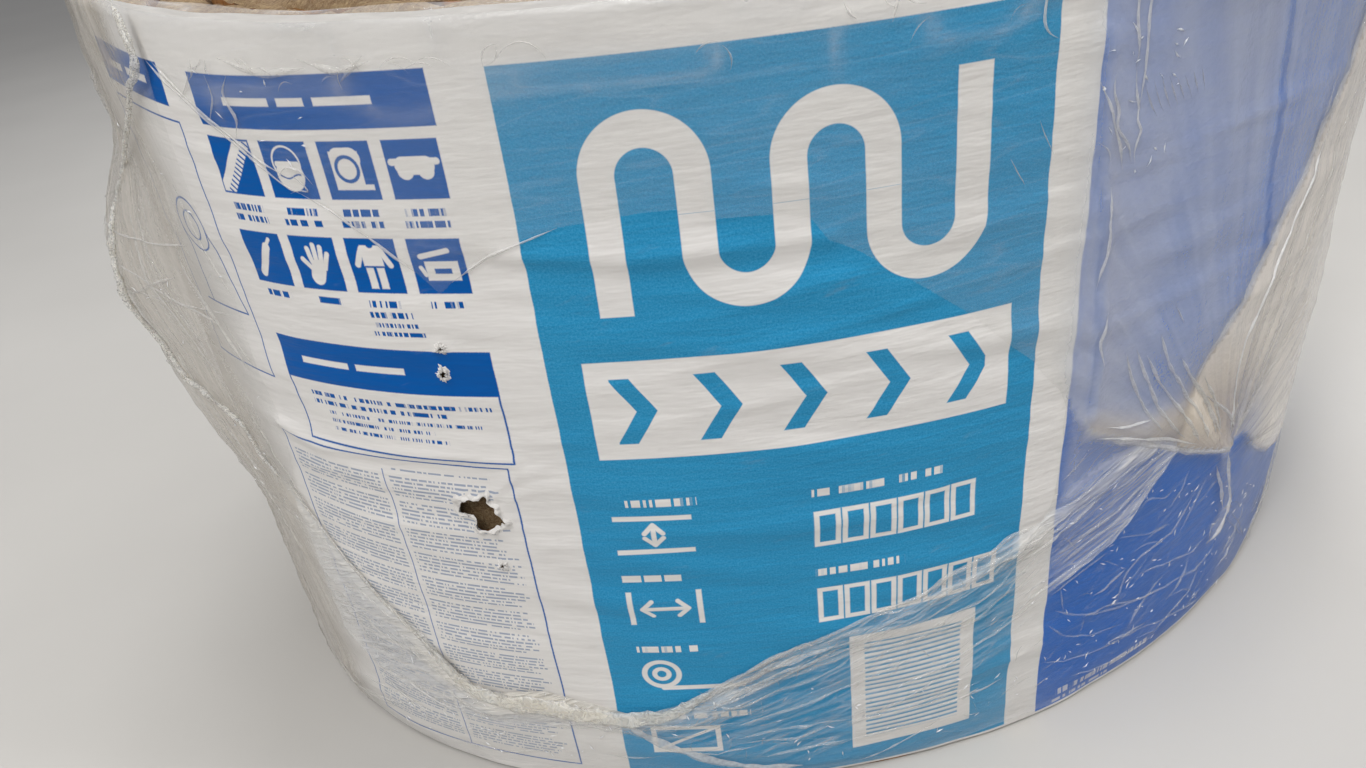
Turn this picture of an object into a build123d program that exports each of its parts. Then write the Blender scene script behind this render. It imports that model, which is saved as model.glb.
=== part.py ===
from build123d import *
import math
import os

# Insulation roll, standing on one end, in millimetres.
# A long batt of glass wool with a kraft facing is wound round a small bore, and the stack it was
# shipped in pressed it oval. A printed film sleeve holds it, with clear stretch film over that.

# Batt: 15 inches wide and 39.2 feet long
roll_width = 381.0
batt_length = 11950.0

# The wound batt is a mason's oval of tangent arcs, built on a 3-4-5 triangle.
# Its depth and the centres of its arcs are shares of half of its long side.
batt_half_length = 342.5
depth_share = 0.8
end_centre_share = 0.3
side_centre_share = 0.4

# Bore left by the winding spindle, and the V-shaped groove between the turns on both ends, where
# the cut edge of the batt is crowned
bore_half_length = 40.0
groove_width = 6.0
groove_depth = 8.0

# Kraft facing, drawn thicker than the paper
kraft_thickness = 1.0
kraft_set_back = 3.0

# Printed sleeve, drawn thicker than the film
sleeve_thickness = 0.8
sleeve_set_back = 1.5

# Ragged puncture in the front of the sleeve: its heading in degrees from the front, its height,
# and the corners of the tear from its middle
puncture_heading = -33.0
puncture_height = 176.0
puncture_corners = [(-10, 5), (-4, 11), (4, 8), (10, 10), (9, -2), (5, -11), (-3, -8), (-9, -4)]

# Stretch film, and the lens-shaped opening that leaves the front of the sleeve bare
wrap_thickness = 0.8
wrap_set_back = 4.0
lens_heading = -22.0
lens_left = (-177.0, 340.0)
lens_top = (30.0, 309.0)
lens_right = (177.0, 150.0)
lens_bottom = (-41.0, 52.0)
lens_corner_radius = 25.0

# Loose fold of the stretch film, pulled off the left end of the roll
fold_half_angle = math.radians(32)
fold_crest_radius = 55.0

# Clearance between one layer and the next
layer_clearance = 0.3

# Angle of each side arc on either side of the short axis, and the heading where it meets an end
side_angle = math.atan2(end_centre_share, side_centre_share)
joint_heading = math.pi / 2 - side_angle


def oval_point(half_length, heading):
    """A point of the oval, by the heading of its outward normal from the right end."""
    if abs(math.sin(heading)) < math.sin(joint_heading):
        centre_x = math.copysign(end_centre_share * half_length, math.cos(heading))
        centre_y = 0.0
        radius = (1 - end_centre_share) * half_length
    else:
        centre_x = 0.0
        centre_y = -math.copysign(side_centre_share * half_length, math.sin(heading))
        radius = (depth_share + side_centre_share) * half_length
    return (centre_x + radius * math.cos(heading), centre_y + radius * math.sin(heading))


def oval_run(half_length, start, stop, shift=0.0):
    """The oval between two headings as tangent arcs, moved along its long axis by shift."""
    joints = sorted(math.pi * k + side * joint_heading for k in range(5) for side in (-1, 1))
    headings = [start] + [joint for joint in joints if start < joint < stop] + [stop]
    for first, last in zip(headings, headings[1:]):
        points = [oval_point(half_length, heading) for heading in (first, (first + last) / 2, last)]
        ThreePointArc(*[(x + shift, y) for x, y in points])


def winding(first_half_length, pitch, turns):
    """Half ovals that grow by half a pitch each and join end to end, as a batt winds outwards."""
    for step in range(2 * turns):
        half_length = first_half_length + (step + 0.5) * pitch / 2
        shift = pitch / 4 if step % 2 else -pitch / 4
        oval_run(half_length, math.pi * (step % 2), math.pi * (step % 2 + 1), shift)


def facing_plane(heading_degrees, height=0.0):
    """Upright plane facing outwards at a heading from the front, through the front arc's axis."""
    heading = math.radians(heading_degrees)
    return Plane(
        origin=(0, side_centre_share * batt_half_length, height),
        x_dir=(math.cos(heading), math.sin(heading), 0),
        z_dir=(math.sin(heading), -math.cos(heading), 0),
    )


# Turns that the batt's length makes between the bore and the outline
side_radius_share = depth_share + side_centre_share
perimeter_share = 4 * ((1 - end_centre_share) * joint_heading + side_radius_share * side_angle)
mean_perimeter = perimeter_share * (batt_half_length + bore_half_length) / 2
batt_turns = round(batt_length / mean_perimeter)
turn_pitch = (batt_half_length - bore_half_length) / batt_turns
groove_turns = batt_turns - 1
groove_start = bore_half_length + turn_pitch / 2
groove_end = groove_start + groove_turns * turn_pitch
groove_side = groove_width / 2

# Distance of each layer's faces from the batt
kraft_inner = layer_clearance
kraft_outer = kraft_inner + kraft_thickness
sleeve_inner = kraft_outer + layer_clearance
sleeve_outer = sleeve_inner + sleeve_thickness
wrap_inner = sleeve_outer + layer_clearance
wrap_outer = wrap_inner + wrap_thickness

# Outline of the batt, on which every layer is offset
with BuildSketch() as batt_outline:
    with BuildLine():
        oval_run(batt_half_length, 0, 2 * math.pi)
    make_face()

# The same outline with the fold: two tangents to the left end that meet in a round crest
fold_front = math.pi + fold_half_angle
fold_back = math.pi - fold_half_angle
end_centre = end_centre_share * batt_half_length
end_radius = batt_half_length - end_centre
crest_x = -end_centre - (end_radius - fold_crest_radius) / math.cos(fold_half_angle)
with BuildSketch() as fold_outline:
    with BuildLine():
        oval_run(batt_half_length, fold_front, 2 * math.pi + fold_back)
        fold_degrees = math.degrees(fold_half_angle)
        crest = CenterArc((crest_x, 0), fold_crest_radius, 180 - fold_degrees, 2 * fold_degrees)
        Line(oval_point(batt_half_length, fold_back), crest @ 0)
        Line(crest @ 1, oval_point(batt_half_length, fold_front))
    make_face()

# Wound batt of glass wool, whose turns show on both ends. The groove winds outwards between them,
# and a straight groove at either end of it shows where the batt was cut.
with BuildPart() as glass_wool_roll:
    with BuildSketch():
        add(batt_outline.sketch)
        with BuildLine():
            oval_run(bore_half_length, 0, 2 * math.pi)
        make_face(mode=Mode.SUBTRACT)
    extrude(amount=roll_width)
    for end_height, tip_height in ((0, groove_depth), (roll_width, roll_width - groove_depth)):
        with BuildLine(Plane.XY.offset(end_height)):
            winding(groove_start, turn_pitch, groove_turns)
        with BuildSketch(Plane.XZ):
            with BuildLine():
                Polyline(
                    (groove_start - groove_side, end_height),
                    (groove_start, tip_height),
                    (groove_start + groove_side, end_height),
                    close=True,
                )
            make_face()
        sweep(mode=Mode.SUBTRACT)
        for cut_start, cut_end in ((0, groove_start), (groove_end, batt_half_length + groove_side)):
            with BuildSketch(Plane.YZ.offset(cut_start)):
                with BuildLine():
                    Polyline(
                        (-groove_side, end_height),
                        (0, tip_height),
                        (groove_side, end_height),
                        close=True,
                    )
                make_face()
            extrude(amount=cut_end - cut_start, mode=Mode.SUBTRACT)
glass_wool_roll.part.label = "glass_wool_roll"

# Outer turn of the kraft facing
with BuildPart() as kraft_facing:
    with BuildSketch(Plane.XY.offset(kraft_set_back)):
        offset(batt_outline.sketch, amount=kraft_outer)
        offset(batt_outline.sketch, amount=kraft_inner, mode=Mode.SUBTRACT)
    extrude(amount=roll_width - 2 * kraft_set_back)
kraft_facing.part.label = "kraft_facing"

# Printed film sleeve, with the puncture cut straight in from the front
with BuildPart() as printed_sleeve:
    with BuildSketch(Plane.XY.offset(sleeve_set_back)):
        offset(batt_outline.sketch, amount=sleeve_outer)
        offset(batt_outline.sketch, amount=sleeve_inner, mode=Mode.SUBTRACT)
    extrude(amount=roll_width - 2 * sleeve_set_back)
    with BuildSketch(facing_plane(puncture_heading, puncture_height)):
        with BuildLine():
            Polyline(*puncture_corners, close=True)
        make_face()
    extrude(amount=side_radius_share * batt_half_length + sleeve_outer, mode=Mode.SUBTRACT)
printed_sleeve.part.label = "printed_sleeve"

# Clear stretch film with its loose fold and its opening
with BuildPart() as stretch_wrap:
    with BuildSketch(Plane.XY.offset(wrap_set_back)):
        offset(fold_outline.sketch, amount=wrap_outer)
        offset(fold_outline.sketch, amount=wrap_inner, mode=Mode.SUBTRACT)
    extrude(amount=roll_width - 2 * wrap_set_back)
    with BuildSketch(facing_plane(lens_heading)) as opening:
        with BuildLine():
            ThreePointArc(lens_left, lens_top, lens_right)
            ThreePointArc(lens_right, lens_bottom, lens_left)
        make_face()
        fillet(opening.vertices(), lens_corner_radius)
    extrude(amount=side_radius_share * batt_half_length + wrap_outer, mode=Mode.SUBTRACT)
stretch_wrap.part.label = "stretch_wrap"

os.makedirs("parts", exist_ok=True)
for piece in (glass_wool_roll, kraft_facing, printed_sleeve, stretch_wrap):
    export_step(piece.part, f"parts/{piece.part.label}.step")
    print(piece.part.label, round(piece.part.volume), "cubic mm")
print("turns of the batt", batt_turns, "at a pitch of", round(turn_pitch, 1))
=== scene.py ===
# %% [markdown]
# # Insulation roll
# A roll of glass wool with a kraft paper facing stands on one end. A white printed film sleeve
# holds it, and clear stretch film is wound over that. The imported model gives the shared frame:
# +Z up along the bore, +X along the long side of the oval, and -Y towards the printed front.
# Each node of it is a plain solid, so this script stands a detailed piece in its place.

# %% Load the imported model
import math

import bmesh
import bpy
import numpy as np
from mathutils import Matrix, Vector


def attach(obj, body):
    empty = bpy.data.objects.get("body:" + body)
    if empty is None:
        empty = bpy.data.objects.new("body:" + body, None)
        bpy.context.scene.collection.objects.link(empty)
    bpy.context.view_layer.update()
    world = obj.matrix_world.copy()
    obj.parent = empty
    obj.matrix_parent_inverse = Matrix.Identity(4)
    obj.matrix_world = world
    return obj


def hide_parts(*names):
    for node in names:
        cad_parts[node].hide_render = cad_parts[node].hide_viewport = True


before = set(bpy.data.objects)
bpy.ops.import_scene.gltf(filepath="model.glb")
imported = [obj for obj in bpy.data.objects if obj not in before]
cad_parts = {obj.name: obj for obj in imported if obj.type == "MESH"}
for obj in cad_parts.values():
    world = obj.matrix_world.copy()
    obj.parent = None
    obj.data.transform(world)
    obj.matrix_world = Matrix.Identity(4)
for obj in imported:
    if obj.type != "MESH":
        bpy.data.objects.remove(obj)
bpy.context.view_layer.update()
print("nodes", sorted(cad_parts))

# %% [markdown]
# ## Camera
# The photograph was taken from close by, above the front and a little to the left, with the camera
# turned slightly on its own axis. A rotation could be dialled in as Euler angles. Three crossed
# directions are safer here, because they become the columns of the camera's matrix as they are.

# %% Camera at the photograph's viewing angle
EYE = (-0.2247, -0.5683, 0.4319)
YAW, PITCH, ROLL = math.radians(14.9), math.radians(30.5), math.radians(-7.34)
LENS = 25.84

forward = Vector(
    (math.sin(YAW) * math.cos(PITCH), math.cos(YAW) * math.cos(PITCH), -math.sin(PITCH))
)
level = Vector((math.cos(YAW), -math.sin(YAW), 0))
upright = level.cross(forward)
right = math.cos(ROLL) * level + math.sin(ROLL) * upright
above = math.cos(ROLL) * upright - math.sin(ROLL) * level

camera = bpy.data.objects.new("camera", bpy.data.cameras.new("camera"))
camera.data.lens = LENS
camera.data.sensor_width = 36
camera.data.clip_start = 0.01
camera.matrix_world = Matrix((right, above, -forward)).transposed().to_4x4()
camera.matrix_world.translation = EYE
bpy.context.scene.collection.objects.link(camera)
bpy.context.scene.camera = camera
print("camera", [round(x, 3) for x in EYE], "lens", LENS)

# %% [markdown]
# ## Maths on shader sockets
# The print and the wrinkles are drawn by nodes. A hundred nodes wired by hand are hard to read, so
# a small class wraps a socket and lets plus, minus and times add their Math nodes.

# %% Shader sockets as values in an expression
class Value:
    """A socket of a shader, used as a number in an expression."""

    def __init__(self, shader, socket):
        self.shader = shader
        self.socket = socket

    def math(self, operation, *others, clamp=False):
        inputs = dict(enumerate((self, *others)))
        return self.shader.node("Math", {"operation": operation, "use_clamp": clamp}, inputs)

    def __add__(self, other):
        return self.math("ADD", other)

    __radd__ = __add__

    def __sub__(self, other):
        return self.math("SUBTRACT", other)

    def __rsub__(self, other):
        return self.shader.node("Math", {"operation": "SUBTRACT"}, {0: other, 1: self})

    def __mul__(self, other):
        return self.math("MULTIPLY", other)

    __rmul__ = __mul__

    def __truediv__(self, other):
        return self.math("DIVIDE", other)

    def __pow__(self, other):
        return self.math("POWER", other)

    def __abs__(self):
        return self.math("ABSOLUTE")

    def low(self, other):
        return self.math("MINIMUM", other)

    def high(self, other):
        return self.math("MAXIMUM", other)

    def clamped(self):
        return self.math("ADD", 0.0, clamp=True)


class Shader:
    """A material that is built node by node."""

    def __init__(self, name):
        self.material = bpy.data.materials.new(name)
        self.material.use_nodes = True
        self.tree = self.material.node_tree
        self.tree.nodes.clear()

    def node(self, kind, settings=None, inputs=None, output=0):
        node = self.tree.nodes.new("ShaderNode" + kind)
        for name, value in (settings or {}).items():
            setattr(node, name, value)
        for key, value in (inputs or {}).items():
            if isinstance(value, Value):
                self.tree.links.new(value.socket, node.inputs[key])
            else:
                node.inputs[key].default_value = value
        return Value(self, node.outputs[output]) if node.outputs else None

    def mix(self, share, first, second):
        return self.node("Mix", {"data_type": "RGBA"}, {0: share, 6: first, 7: second}, output=2)

    def vector(self, operation, *inputs, output=0):
        return self.node("VectorMath", {"operation": operation}, dict(enumerate(inputs)), output)

    def between(self, value, low, high, low_result=0.0, high_result=1.0):
        """Smooth step from low_result to high_result as value goes from low to high."""
        return self.node(
            "MapRange",
            {"interpolation_type": "SMOOTHSTEP"},
            {0: value, 1: low, 2: high, 3: low_result, 4: high_result},
        )

    def on_object(self):
        """The place on the object, in metres."""
        return self.node("TexCoord", output=3)

    def axis(self, place, index):
        """One number of a place: 0 for x, 1 for y and 2 for z."""
        return self.node("SeparateXYZ", None, {0: place}, index)

    def attribute(self, name):
        return self.node("Attribute", {"attribute_name": name}, output=2)

    def noise(self, place, scale, detail=2.0, roughness=0.5, distortion=0.0):
        sockets = {"Vector": place, "Scale": scale, "Detail": detail}
        sockets |= {"Roughness": roughness, "Distortion": distortion}
        return self.node("TexNoise", None, sockets)

    def long_noise(self, place, along, across, turn, *noise, scale=1.0):
        """Noise that is that long one way, turned by degrees, and that short across."""
        size, rotation = (along, across, across), (0, 0, math.radians(turn))
        sockets = {"Vector": place, "Rotation": rotation, "Scale": size}
        return self.noise(self.node("Mapping", {"vector_type": "TEXTURE"}, sockets), scale, *noise)

    def bump(self, height, distance, strength=1.0):
        sockets = {"Height": height, "Distance": distance, "Strength": strength}
        return self.node("Bump", None, sockets)

    def skin(self, colour, roughness, others=None):
        """The one shader for solid surfaces, with its other sockets by name."""
        sockets = {"Base Color": colour, "Roughness": roughness} | (others or {})
        return self.node("BsdfPrincipled", None, sockets)

    def surface(self, result):
        self.node("OutputMaterial", None, {"Surface": result})
        return self.material


def ink(red, green, blue):
    """A colour by its sRGB numbers from 0 to 255, as the linear numbers that Blender takes."""
    shares = [x / 255 for x in (red, green, blue)]
    return (*[x / 12.92 if x <= 0.04045 else ((x + 0.055) / 1.055) ** 2.4 for x in shares], 1.0)


# %% [markdown]
# ## Studio
# A plain pale floor and soft light. Long soft lamps overhead give the film its bright glints, which
# a round sun would draw as dots.

# %% Floor and light
FLOOR_REACH = 14


def make_floor():
    shader = Shader("pale floor")
    cloud = shader.noise(shader.on_object(), 3.0, 4.0)
    colour = shader.mix(cloud, ink(176, 173, 168), ink(190, 187, 182))
    rough = shader.between(cloud, 0.2, 0.8, 0.7, 0.85)
    material = shader.surface(shader.skin(colour, rough))
    bm = bmesh.new()
    bmesh.ops.create_grid(bm, x_segments=4, y_segments=4, size=FLOOR_REACH)
    mesh = bpy.data.meshes.new("studio_floor")
    bm.to_mesh(mesh)
    bm.free()
    mesh.materials.append(material)
    floor = bpy.data.objects.new("studio_floor", mesh)
    bpy.context.scene.collection.objects.link(floor)


def add_lamp(name, place, aim, size, power, colour=(1, 1, 1)):
    lamp = bpy.data.lights.new(name, "AREA")
    lamp.shape = "RECTANGLE"
    lamp.size, lamp.size_y = size
    lamp.energy = power
    lamp.color = colour
    holder = bpy.data.objects.new(name, lamp)
    holder.location = place
    holder.rotation_euler = (Vector(aim) - Vector(place)).to_track_quat("-Z", "Y").to_euler()
    bpy.context.scene.collection.objects.link(holder)


make_floor()
add_lamp("key lamp", (-1.1, -1.6, 2.3), (0, 0, 0.2), (1.5, 1.5), 29, (1, 0.985, 0.96))
add_lamp("tube lamp left", (-0.45, -0.5, 2.1), (0, -0.1, 0.3), (0.2, 2.4), 24)
add_lamp("tube lamp right", (0.8, -0.6, 2.1), (0, -0.1, 0.3), (0.2, 2.4), 24)
add_lamp("back lamp", (0.6, 1.9, 1.6), (0, 0, 0.2), (1.4, 1.0), 18, (0.96, 0.98, 1))
world = bpy.data.worlds.new("studio")
world.use_nodes = True
world.node_tree.nodes["Background"].inputs["Color"].default_value = (0.93, 0.95, 1, 1)
world.node_tree.nodes["Background"].inputs["Strength"].default_value = 0.36
bpy.context.scene.world = world
bpy.context.scene.view_settings.view_transform = "Standard"

# %% [markdown]
# ## Oval
# The stack that the roll was shipped in pressed it into an oval of four tangent arcs. Everything on
# the sleeve is placed by two lengths in millimetres: s round the sleeve from the middle of the
# front, positive towards +X, and z up. One function winds such places on the oval.

# %% The oval and places on it
CIRCLE = 2 * math.pi
HALF = 342.5
END_SHARE, SIDE_SHARE, DEPTH_SHARE = 0.3, 0.4, 0.8
SIDE_ANGLE = math.atan2(END_SHARE, SIDE_SHARE)
SLEEVE = 2.4
WIDTH, RIM = 381.0, 366.0
END_RADIUS = (1 - END_SHARE) * HALF + SLEEVE
SIDE_RADIUS = (DEPTH_SHARE + SIDE_SHARE) * HALF + SLEEVE
FRONT_RUN = SIDE_RADIUS * SIDE_ANGLE
END_RUN = END_RADIUS * (math.pi - 2 * SIDE_ANGLE)
AROUND = 4 * FRONT_RUN + 2 * END_RUN
BACK = AROUND / 2


def wound(s, z, off):
    """Places in metres on the sleeve at the lengths s and z, and that far off it, all in mm."""
    run = np.abs(s)
    on_front, on_end = run <= FRONT_RUN, run <= FRONT_RUN + END_RUN
    turn = np.where(
        on_front,
        run / SIDE_RADIUS,
        np.where(
            on_end,
            SIDE_ANGLE + (run - FRONT_RUN) / END_RADIUS,
            math.pi - SIDE_ANGLE + (run - FRONT_RUN - END_RUN) / SIDE_RADIUS,
        ),
    )
    at_end = ~on_front & on_end
    radius = np.where(at_end, END_RADIUS, SIDE_RADIUS) + off
    middle_x = np.where(at_end, END_SHARE * HALF, 0.0)
    middle_y = np.where(at_end, 0.0, np.where(on_front, SIDE_SHARE, -SIDE_SHARE) * HALF)
    x = np.sign(s) * (middle_x + radius * np.sin(turn))
    y = middle_y - radius * np.cos(turn)
    return np.stack([x, y, z], axis=-1) / 1000


print("round the sleeve", round(AROUND), "mm")

# %% [markdown]
# ## Noise and lines for relief
# Wrinkles are moved into the mesh with numpy, which is fast on a hundred thousand vertices. A table
# of seeded random numbers is blended smoothly between its entries, and it can repeat after a whole
# number of cells, so that the pattern closes where the sleeve meets itself at the back.

# %% Smooth noise, distance to a line, and a smooth step
TABLE = 256


def eased(share):
    """A share from 0 to 1 that sets off and arrives gently, so that no cell of the noise shows."""
    return share * share * share * (share * (share * 6 - 15) + 10)


def waves(u, v, seed, cells=TABLE):
    """Smooth noise from -1 to 1 that repeats in u after that many cells."""
    table = np.random.default_rng(seed).uniform(-1, 1, (cells, TABLE))
    column, row = np.floor(u).astype(int), np.floor(v).astype(int)
    along, across = eased(u - column), eased(v - row)

    def corner(i, j):
        return table[(column + i) % cells, (row + j) % TABLE]

    lower = corner(0, 0) * (1 - along) + corner(1, 0) * along
    upper = corner(0, 1) * (1 - along) + corner(1, 1) * along
    return lower * (1 - across) + upper * across


def sway(u, seed, cells=TABLE, row=0):
    """Smooth noise along one way only, read from one row of the table."""
    return waves(u, np.full_like(u, row), seed, cells)


def ridges(u, v, seed, cells=TABLE):
    """Noise from 0 to 1 with sharp crests, like creased film."""
    return 1 - np.abs(waves(u, v, seed, cells))


def step(value, low, high):
    """Smooth step from 0 to 1 as value goes from low to high."""
    share = np.clip((value - low) / (high - low), 0, 1)
    return share * share * (3 - 2 * share)


def from_line(s, z, corners):
    """Distance from a line with those corners, and the place of the nearest point on it."""
    best = np.full(np.shape(s), np.inf)
    near_s, near_z = np.zeros(np.shape(s)), np.zeros(np.shape(s))
    for (s0, z0), (s1, z1) in zip(corners, corners[1:]):
        ds, dz = s1 - s0, z1 - z0
        share = np.clip(((s - s0) * ds + (z - z0) * dz) / (ds * ds + dz * dz), 0, 1)
        line_s, line_z = s0 + share * ds, z0 + share * dz
        distance = np.hypot(s - line_s, z - line_z)
        nearer = distance < best
        best = np.where(nearer, distance, best)
        near_s, near_z = np.where(nearer, line_s, near_s), np.where(nearer, line_z, near_z)
    return best, near_s, near_z


def closed(corners):
    """An outline's corners, with the first once more at the end."""
    return corners + corners[:1]


def near_line(s, z, corners, reach):
    """A share that is 1 on a line and dies away to a third at that reach from it."""
    distance, _, _ = from_line(s, z, corners)
    return np.exp(-((distance / reach) ** 2))


def level_on(line, s):
    """How high a line with (s, z) corners runs at s."""
    return np.interp(s, *zip(*line))


def inside(s, z, corners):
    """Whether places lie inside a closed outline."""
    result = np.zeros(np.shape(s), bool)
    for (s0, z0), (s1, z1) in zip(corners, closed(corners)[1:]):
        crosses = (z0 > z) != (z1 > z)
        with np.errstate(divide="ignore", invalid="ignore"):
            result ^= crosses & (s < (s1 - s0) * (z - z0) / (z1 - z0) + s0)
    return result


def graded(stops):
    """Values from the first stop on, at each stop's own spacing. A stop is (start, spacing)."""
    runs = [
        np.linspace(start, end, max(1, round((end - start) / spacing)), endpoint=False)
        for (start, spacing), (end, _) in zip(stops, stops[1:])
    ]
    return np.append(np.concatenate(runs), stops[-1][0])


def curve(stops, samples=400, soften=13):
    """A smooth function through (place, value) stops."""
    places, values = zip(*stops)
    fine = np.linspace(places[0], places[-1], samples)
    kernel = np.hanning(2 * soften + 1)
    padded = np.pad(np.interp(fine, places, values), soften, mode="edge")
    smooth = np.convolve(padded, kernel / kernel.sum(), mode="valid")
    return lambda x: np.interp(x, fine, smooth)


# %% [markdown]
# ## Sheets from a grid
# A film or a paper is a grid of faces, laid flat first: x is s and y is z, in millimetres. Holes
# are cut while it is flat, by deleting the faces inside an outline and pulling the border on to it.
# The flat places are kept as the UV map, in metres, so the print follows every wrinkle, and then
# the vertices move to where the sheet is wound.

# %% A flat grid with holes, then wound
HOLE_MARGIN, HOLE_PULL = 8, 4
MERGE_GAP = 1e-5


def flat_grid(columns, rows, holes=()):
    """A bmesh grid with its vertices at those columns and rows, less the faces in the holes."""
    bm = bmesh.new()
    last_column, last_row = len(columns) - 1, len(rows) - 1
    bmesh.ops.create_grid(bm, x_segments=last_column, y_segments=last_row, size=1)
    for vert in bm.verts:
        column = round((vert.co.x + 1) / 2 * last_column)
        row = round((vert.co.y + 1) / 2 * last_row)
        vert.co = (columns[column], rows[row], 0)
    for hole in holes:
        low_s = min(s for s, _ in hole) - HOLE_MARGIN
        high_s = max(s for s, _ in hole) + HOLE_MARGIN
        near = [f for f in bm.faces if low_s < f.calc_center_median().x < high_s]
        centres = np.array([f.calc_center_median()[:2] for f in near])
        gone = inside(centres[:, 0], centres[:, 1], hole)
        bmesh.ops.delete(bm, geom=[f for f, g in zip(near, gone) if g], context="FACES")
        border = [v for v in bm.verts if v.is_boundary and low_s < v.co.x < high_s]
        places = np.array([v.co[:2] for v in border])
        distance, near_s, near_z = from_line(places[:, 0], places[:, 1], closed(hole))
        for vert, far, s, z in zip(border, distance, near_s, near_z):
            if far < HOLE_PULL:
                vert.co = (s, z, 0)
    return bm


def counted(column, row):
    """Columns and rows of a grid as whole numbers, for a grid that is laid out by counting."""
    return np.rint(column).astype(int), np.rint(row).astype(int)


def read(items, field, numbers=1, kind=np.int32):
    """One field of a mesh's items, such as its vertices, with that many numbers for each."""
    values = np.empty(len(items) * numbers, kind)
    items.foreach_get(field, values)
    return values


def wound_piece(name, bm, place, merge=True, layers=None):
    """The object made of a flat bmesh whose vertices go where place(s, z) says, in metres."""
    mesh = bpy.data.meshes.new(name)
    bm.to_mesh(mesh)
    bm.free()
    flat = read(mesh.vertices, "co", 3, np.float32).reshape(-1, 3).astype(float)
    s, z = flat[:, 0], flat[:, 1]
    corner = read(mesh.loops, "vertex_index")
    lay = mesh.uv_layers.new(name="lay")
    lay.data.foreach_set("uv", (flat[corner, :2] / 1000).astype(np.float32).ravel())
    for layer, values in (layers(s, z) if layers else {}).items():
        attribute = mesh.attributes.new(layer, "FLOAT", "POINT")
        attribute.data.foreach_set("value", np.asarray(values, np.float32))
    mesh.vertices.foreach_set("co", place(s, z).astype(np.float32).ravel())
    if merge:
        bm = bmesh.new()
        bm.from_mesh(mesh)
        bmesh.ops.remove_doubles(bm, verts=bm.verts, dist=MERGE_GAP)
        bmesh.ops.recalc_face_normals(bm, faces=bm.faces)
        bm.to_mesh(mesh)
        bm.free()
    mesh.shade_smooth()
    piece = bpy.data.objects.new(name, mesh)
    bpy.context.scene.collection.objects.link(piece)
    triangles = sum(len(p.vertices) - 2 for p in mesh.polygons)
    print(name, triangles, "triangles")
    return piece


def fit_out(piece, slot, *finishes):
    """Gives a piece its finishes and lets it ride on the roll."""
    for finish in finishes:
        piece.data.materials.append(finish)
    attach(piece, "root")


# %% [markdown]
# ## Wound batt
# The batt is one strip of glass wool, wound up 11 times. Its turns show on both ends, each crowned
# between the paper on its two sides. The strip is a grid too: its long way follows the winding and
# its short way goes round the strip's section, so the edges of the grid meet and are merged.

# %% The winding
BORE_HALF = 40.0
TURNS = 11
PITCH = (HALF - BORE_HALF) / TURNS
FIRST_GROOVE = BORE_HALF + PITCH / 2
LAST_TURN = CIRCLE * (TURNS - 1)
END_EASE = 0.5


def oval_place(half, heading):
    """Plan places in mm on the oval of that half length, by the heading of its outward normal."""
    sine, cosine = np.sin(heading), np.cos(heading)
    at_end = np.abs(sine) < math.cos(SIDE_ANGLE)
    end, side = (1 - END_SHARE) * half, (DEPTH_SHARE + SIDE_SHARE) * half
    x = np.where(at_end, np.sign(cosine) * END_SHARE * half + end * cosine, side * cosine)
    y = np.where(at_end, end * sine, -np.sign(sine) * SIDE_SHARE * half + side * sine)
    return x, y


def outer_half(heading):
    """Half length of the outside of the strip, by its heading counted on from turn to turn."""
    growing = FIRST_GROOVE + PITCH * heading / CIRCLE
    ending = step(heading, LAST_TURN, LAST_TURN + END_EASE) * PITCH / 2
    return np.where(heading < LAST_TURN, growing, FIRST_GROOVE + PITCH * (TURNS - 1) + ending)


def inner_half(heading):
    """Half length of the inside of the strip."""
    growing = FIRST_GROOVE + PITCH * (heading / CIRCLE - 1)
    start = BORE_HALF + step(heading, CIRCLE - END_EASE, CIRCLE) * PITCH / 2
    return np.where(heading < CIRCLE, start, growing)


def winding_headings(spacing):
    """Headings along the whole strip, evenly spaced by length, and the length at each."""
    fine = np.linspace(0, CIRCLE * TURNS, 20000)
    x, y = oval_place(outer_half(fine), fine)
    length = np.append(0, np.cumsum(np.hypot(np.diff(x), np.diff(y))))
    even = np.linspace(0, length[-1], round(length[-1] / spacing))
    return np.interp(even, length, fine), even


STRIP_SPACING = 6.0
headings, lengths = winding_headings(STRIP_SPACING)
print("strip", round(lengths[-1]), "mm long in", TURNS, "turns of", round(PITCH, 1), "mm")

# %% Wool strip
CROWN = 8.0
DENT_S, DENT_Z, DENT_DEPTH, DENT_REACH = -238.0, 176.0, 6.0, 10.0


def dent(s, z):
    """How far the wool and the paper are pressed in behind the puncture."""
    away = (s - DENT_S) ** 2 + (z - DENT_Z) ** 2
    return DENT_DEPTH * np.exp(-away / (2 * DENT_REACH ** 2))


def sleeve_run(heading):
    """The length s on the sleeve at a heading, for places near the front."""
    turn = np.mod(heading + math.pi / 2 + math.pi, CIRCLE) - math.pi
    past = np.clip(np.abs(turn) - SIDE_ANGLE, 0, None)
    return np.sign(turn) * (np.minimum(np.abs(turn), SIDE_ANGLE) * SIDE_RADIUS + past * END_RADIUS)


# Round the strip's section: over the top, down the outside, back below, and up the inside
SECTION = [(0.0, 0.5), *((q, 1.0) for q in np.linspace(0, 1, 11))]
SECTION += [(1.0, 0.75), (1.0, 0.5), (1.0, 0.25)]
SECTION += [*((q, 0.0) for q in np.linspace(1, 0, 11)), (0.0, 0.5)]
ACROSS, UP = np.array(SECTION).T


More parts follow.
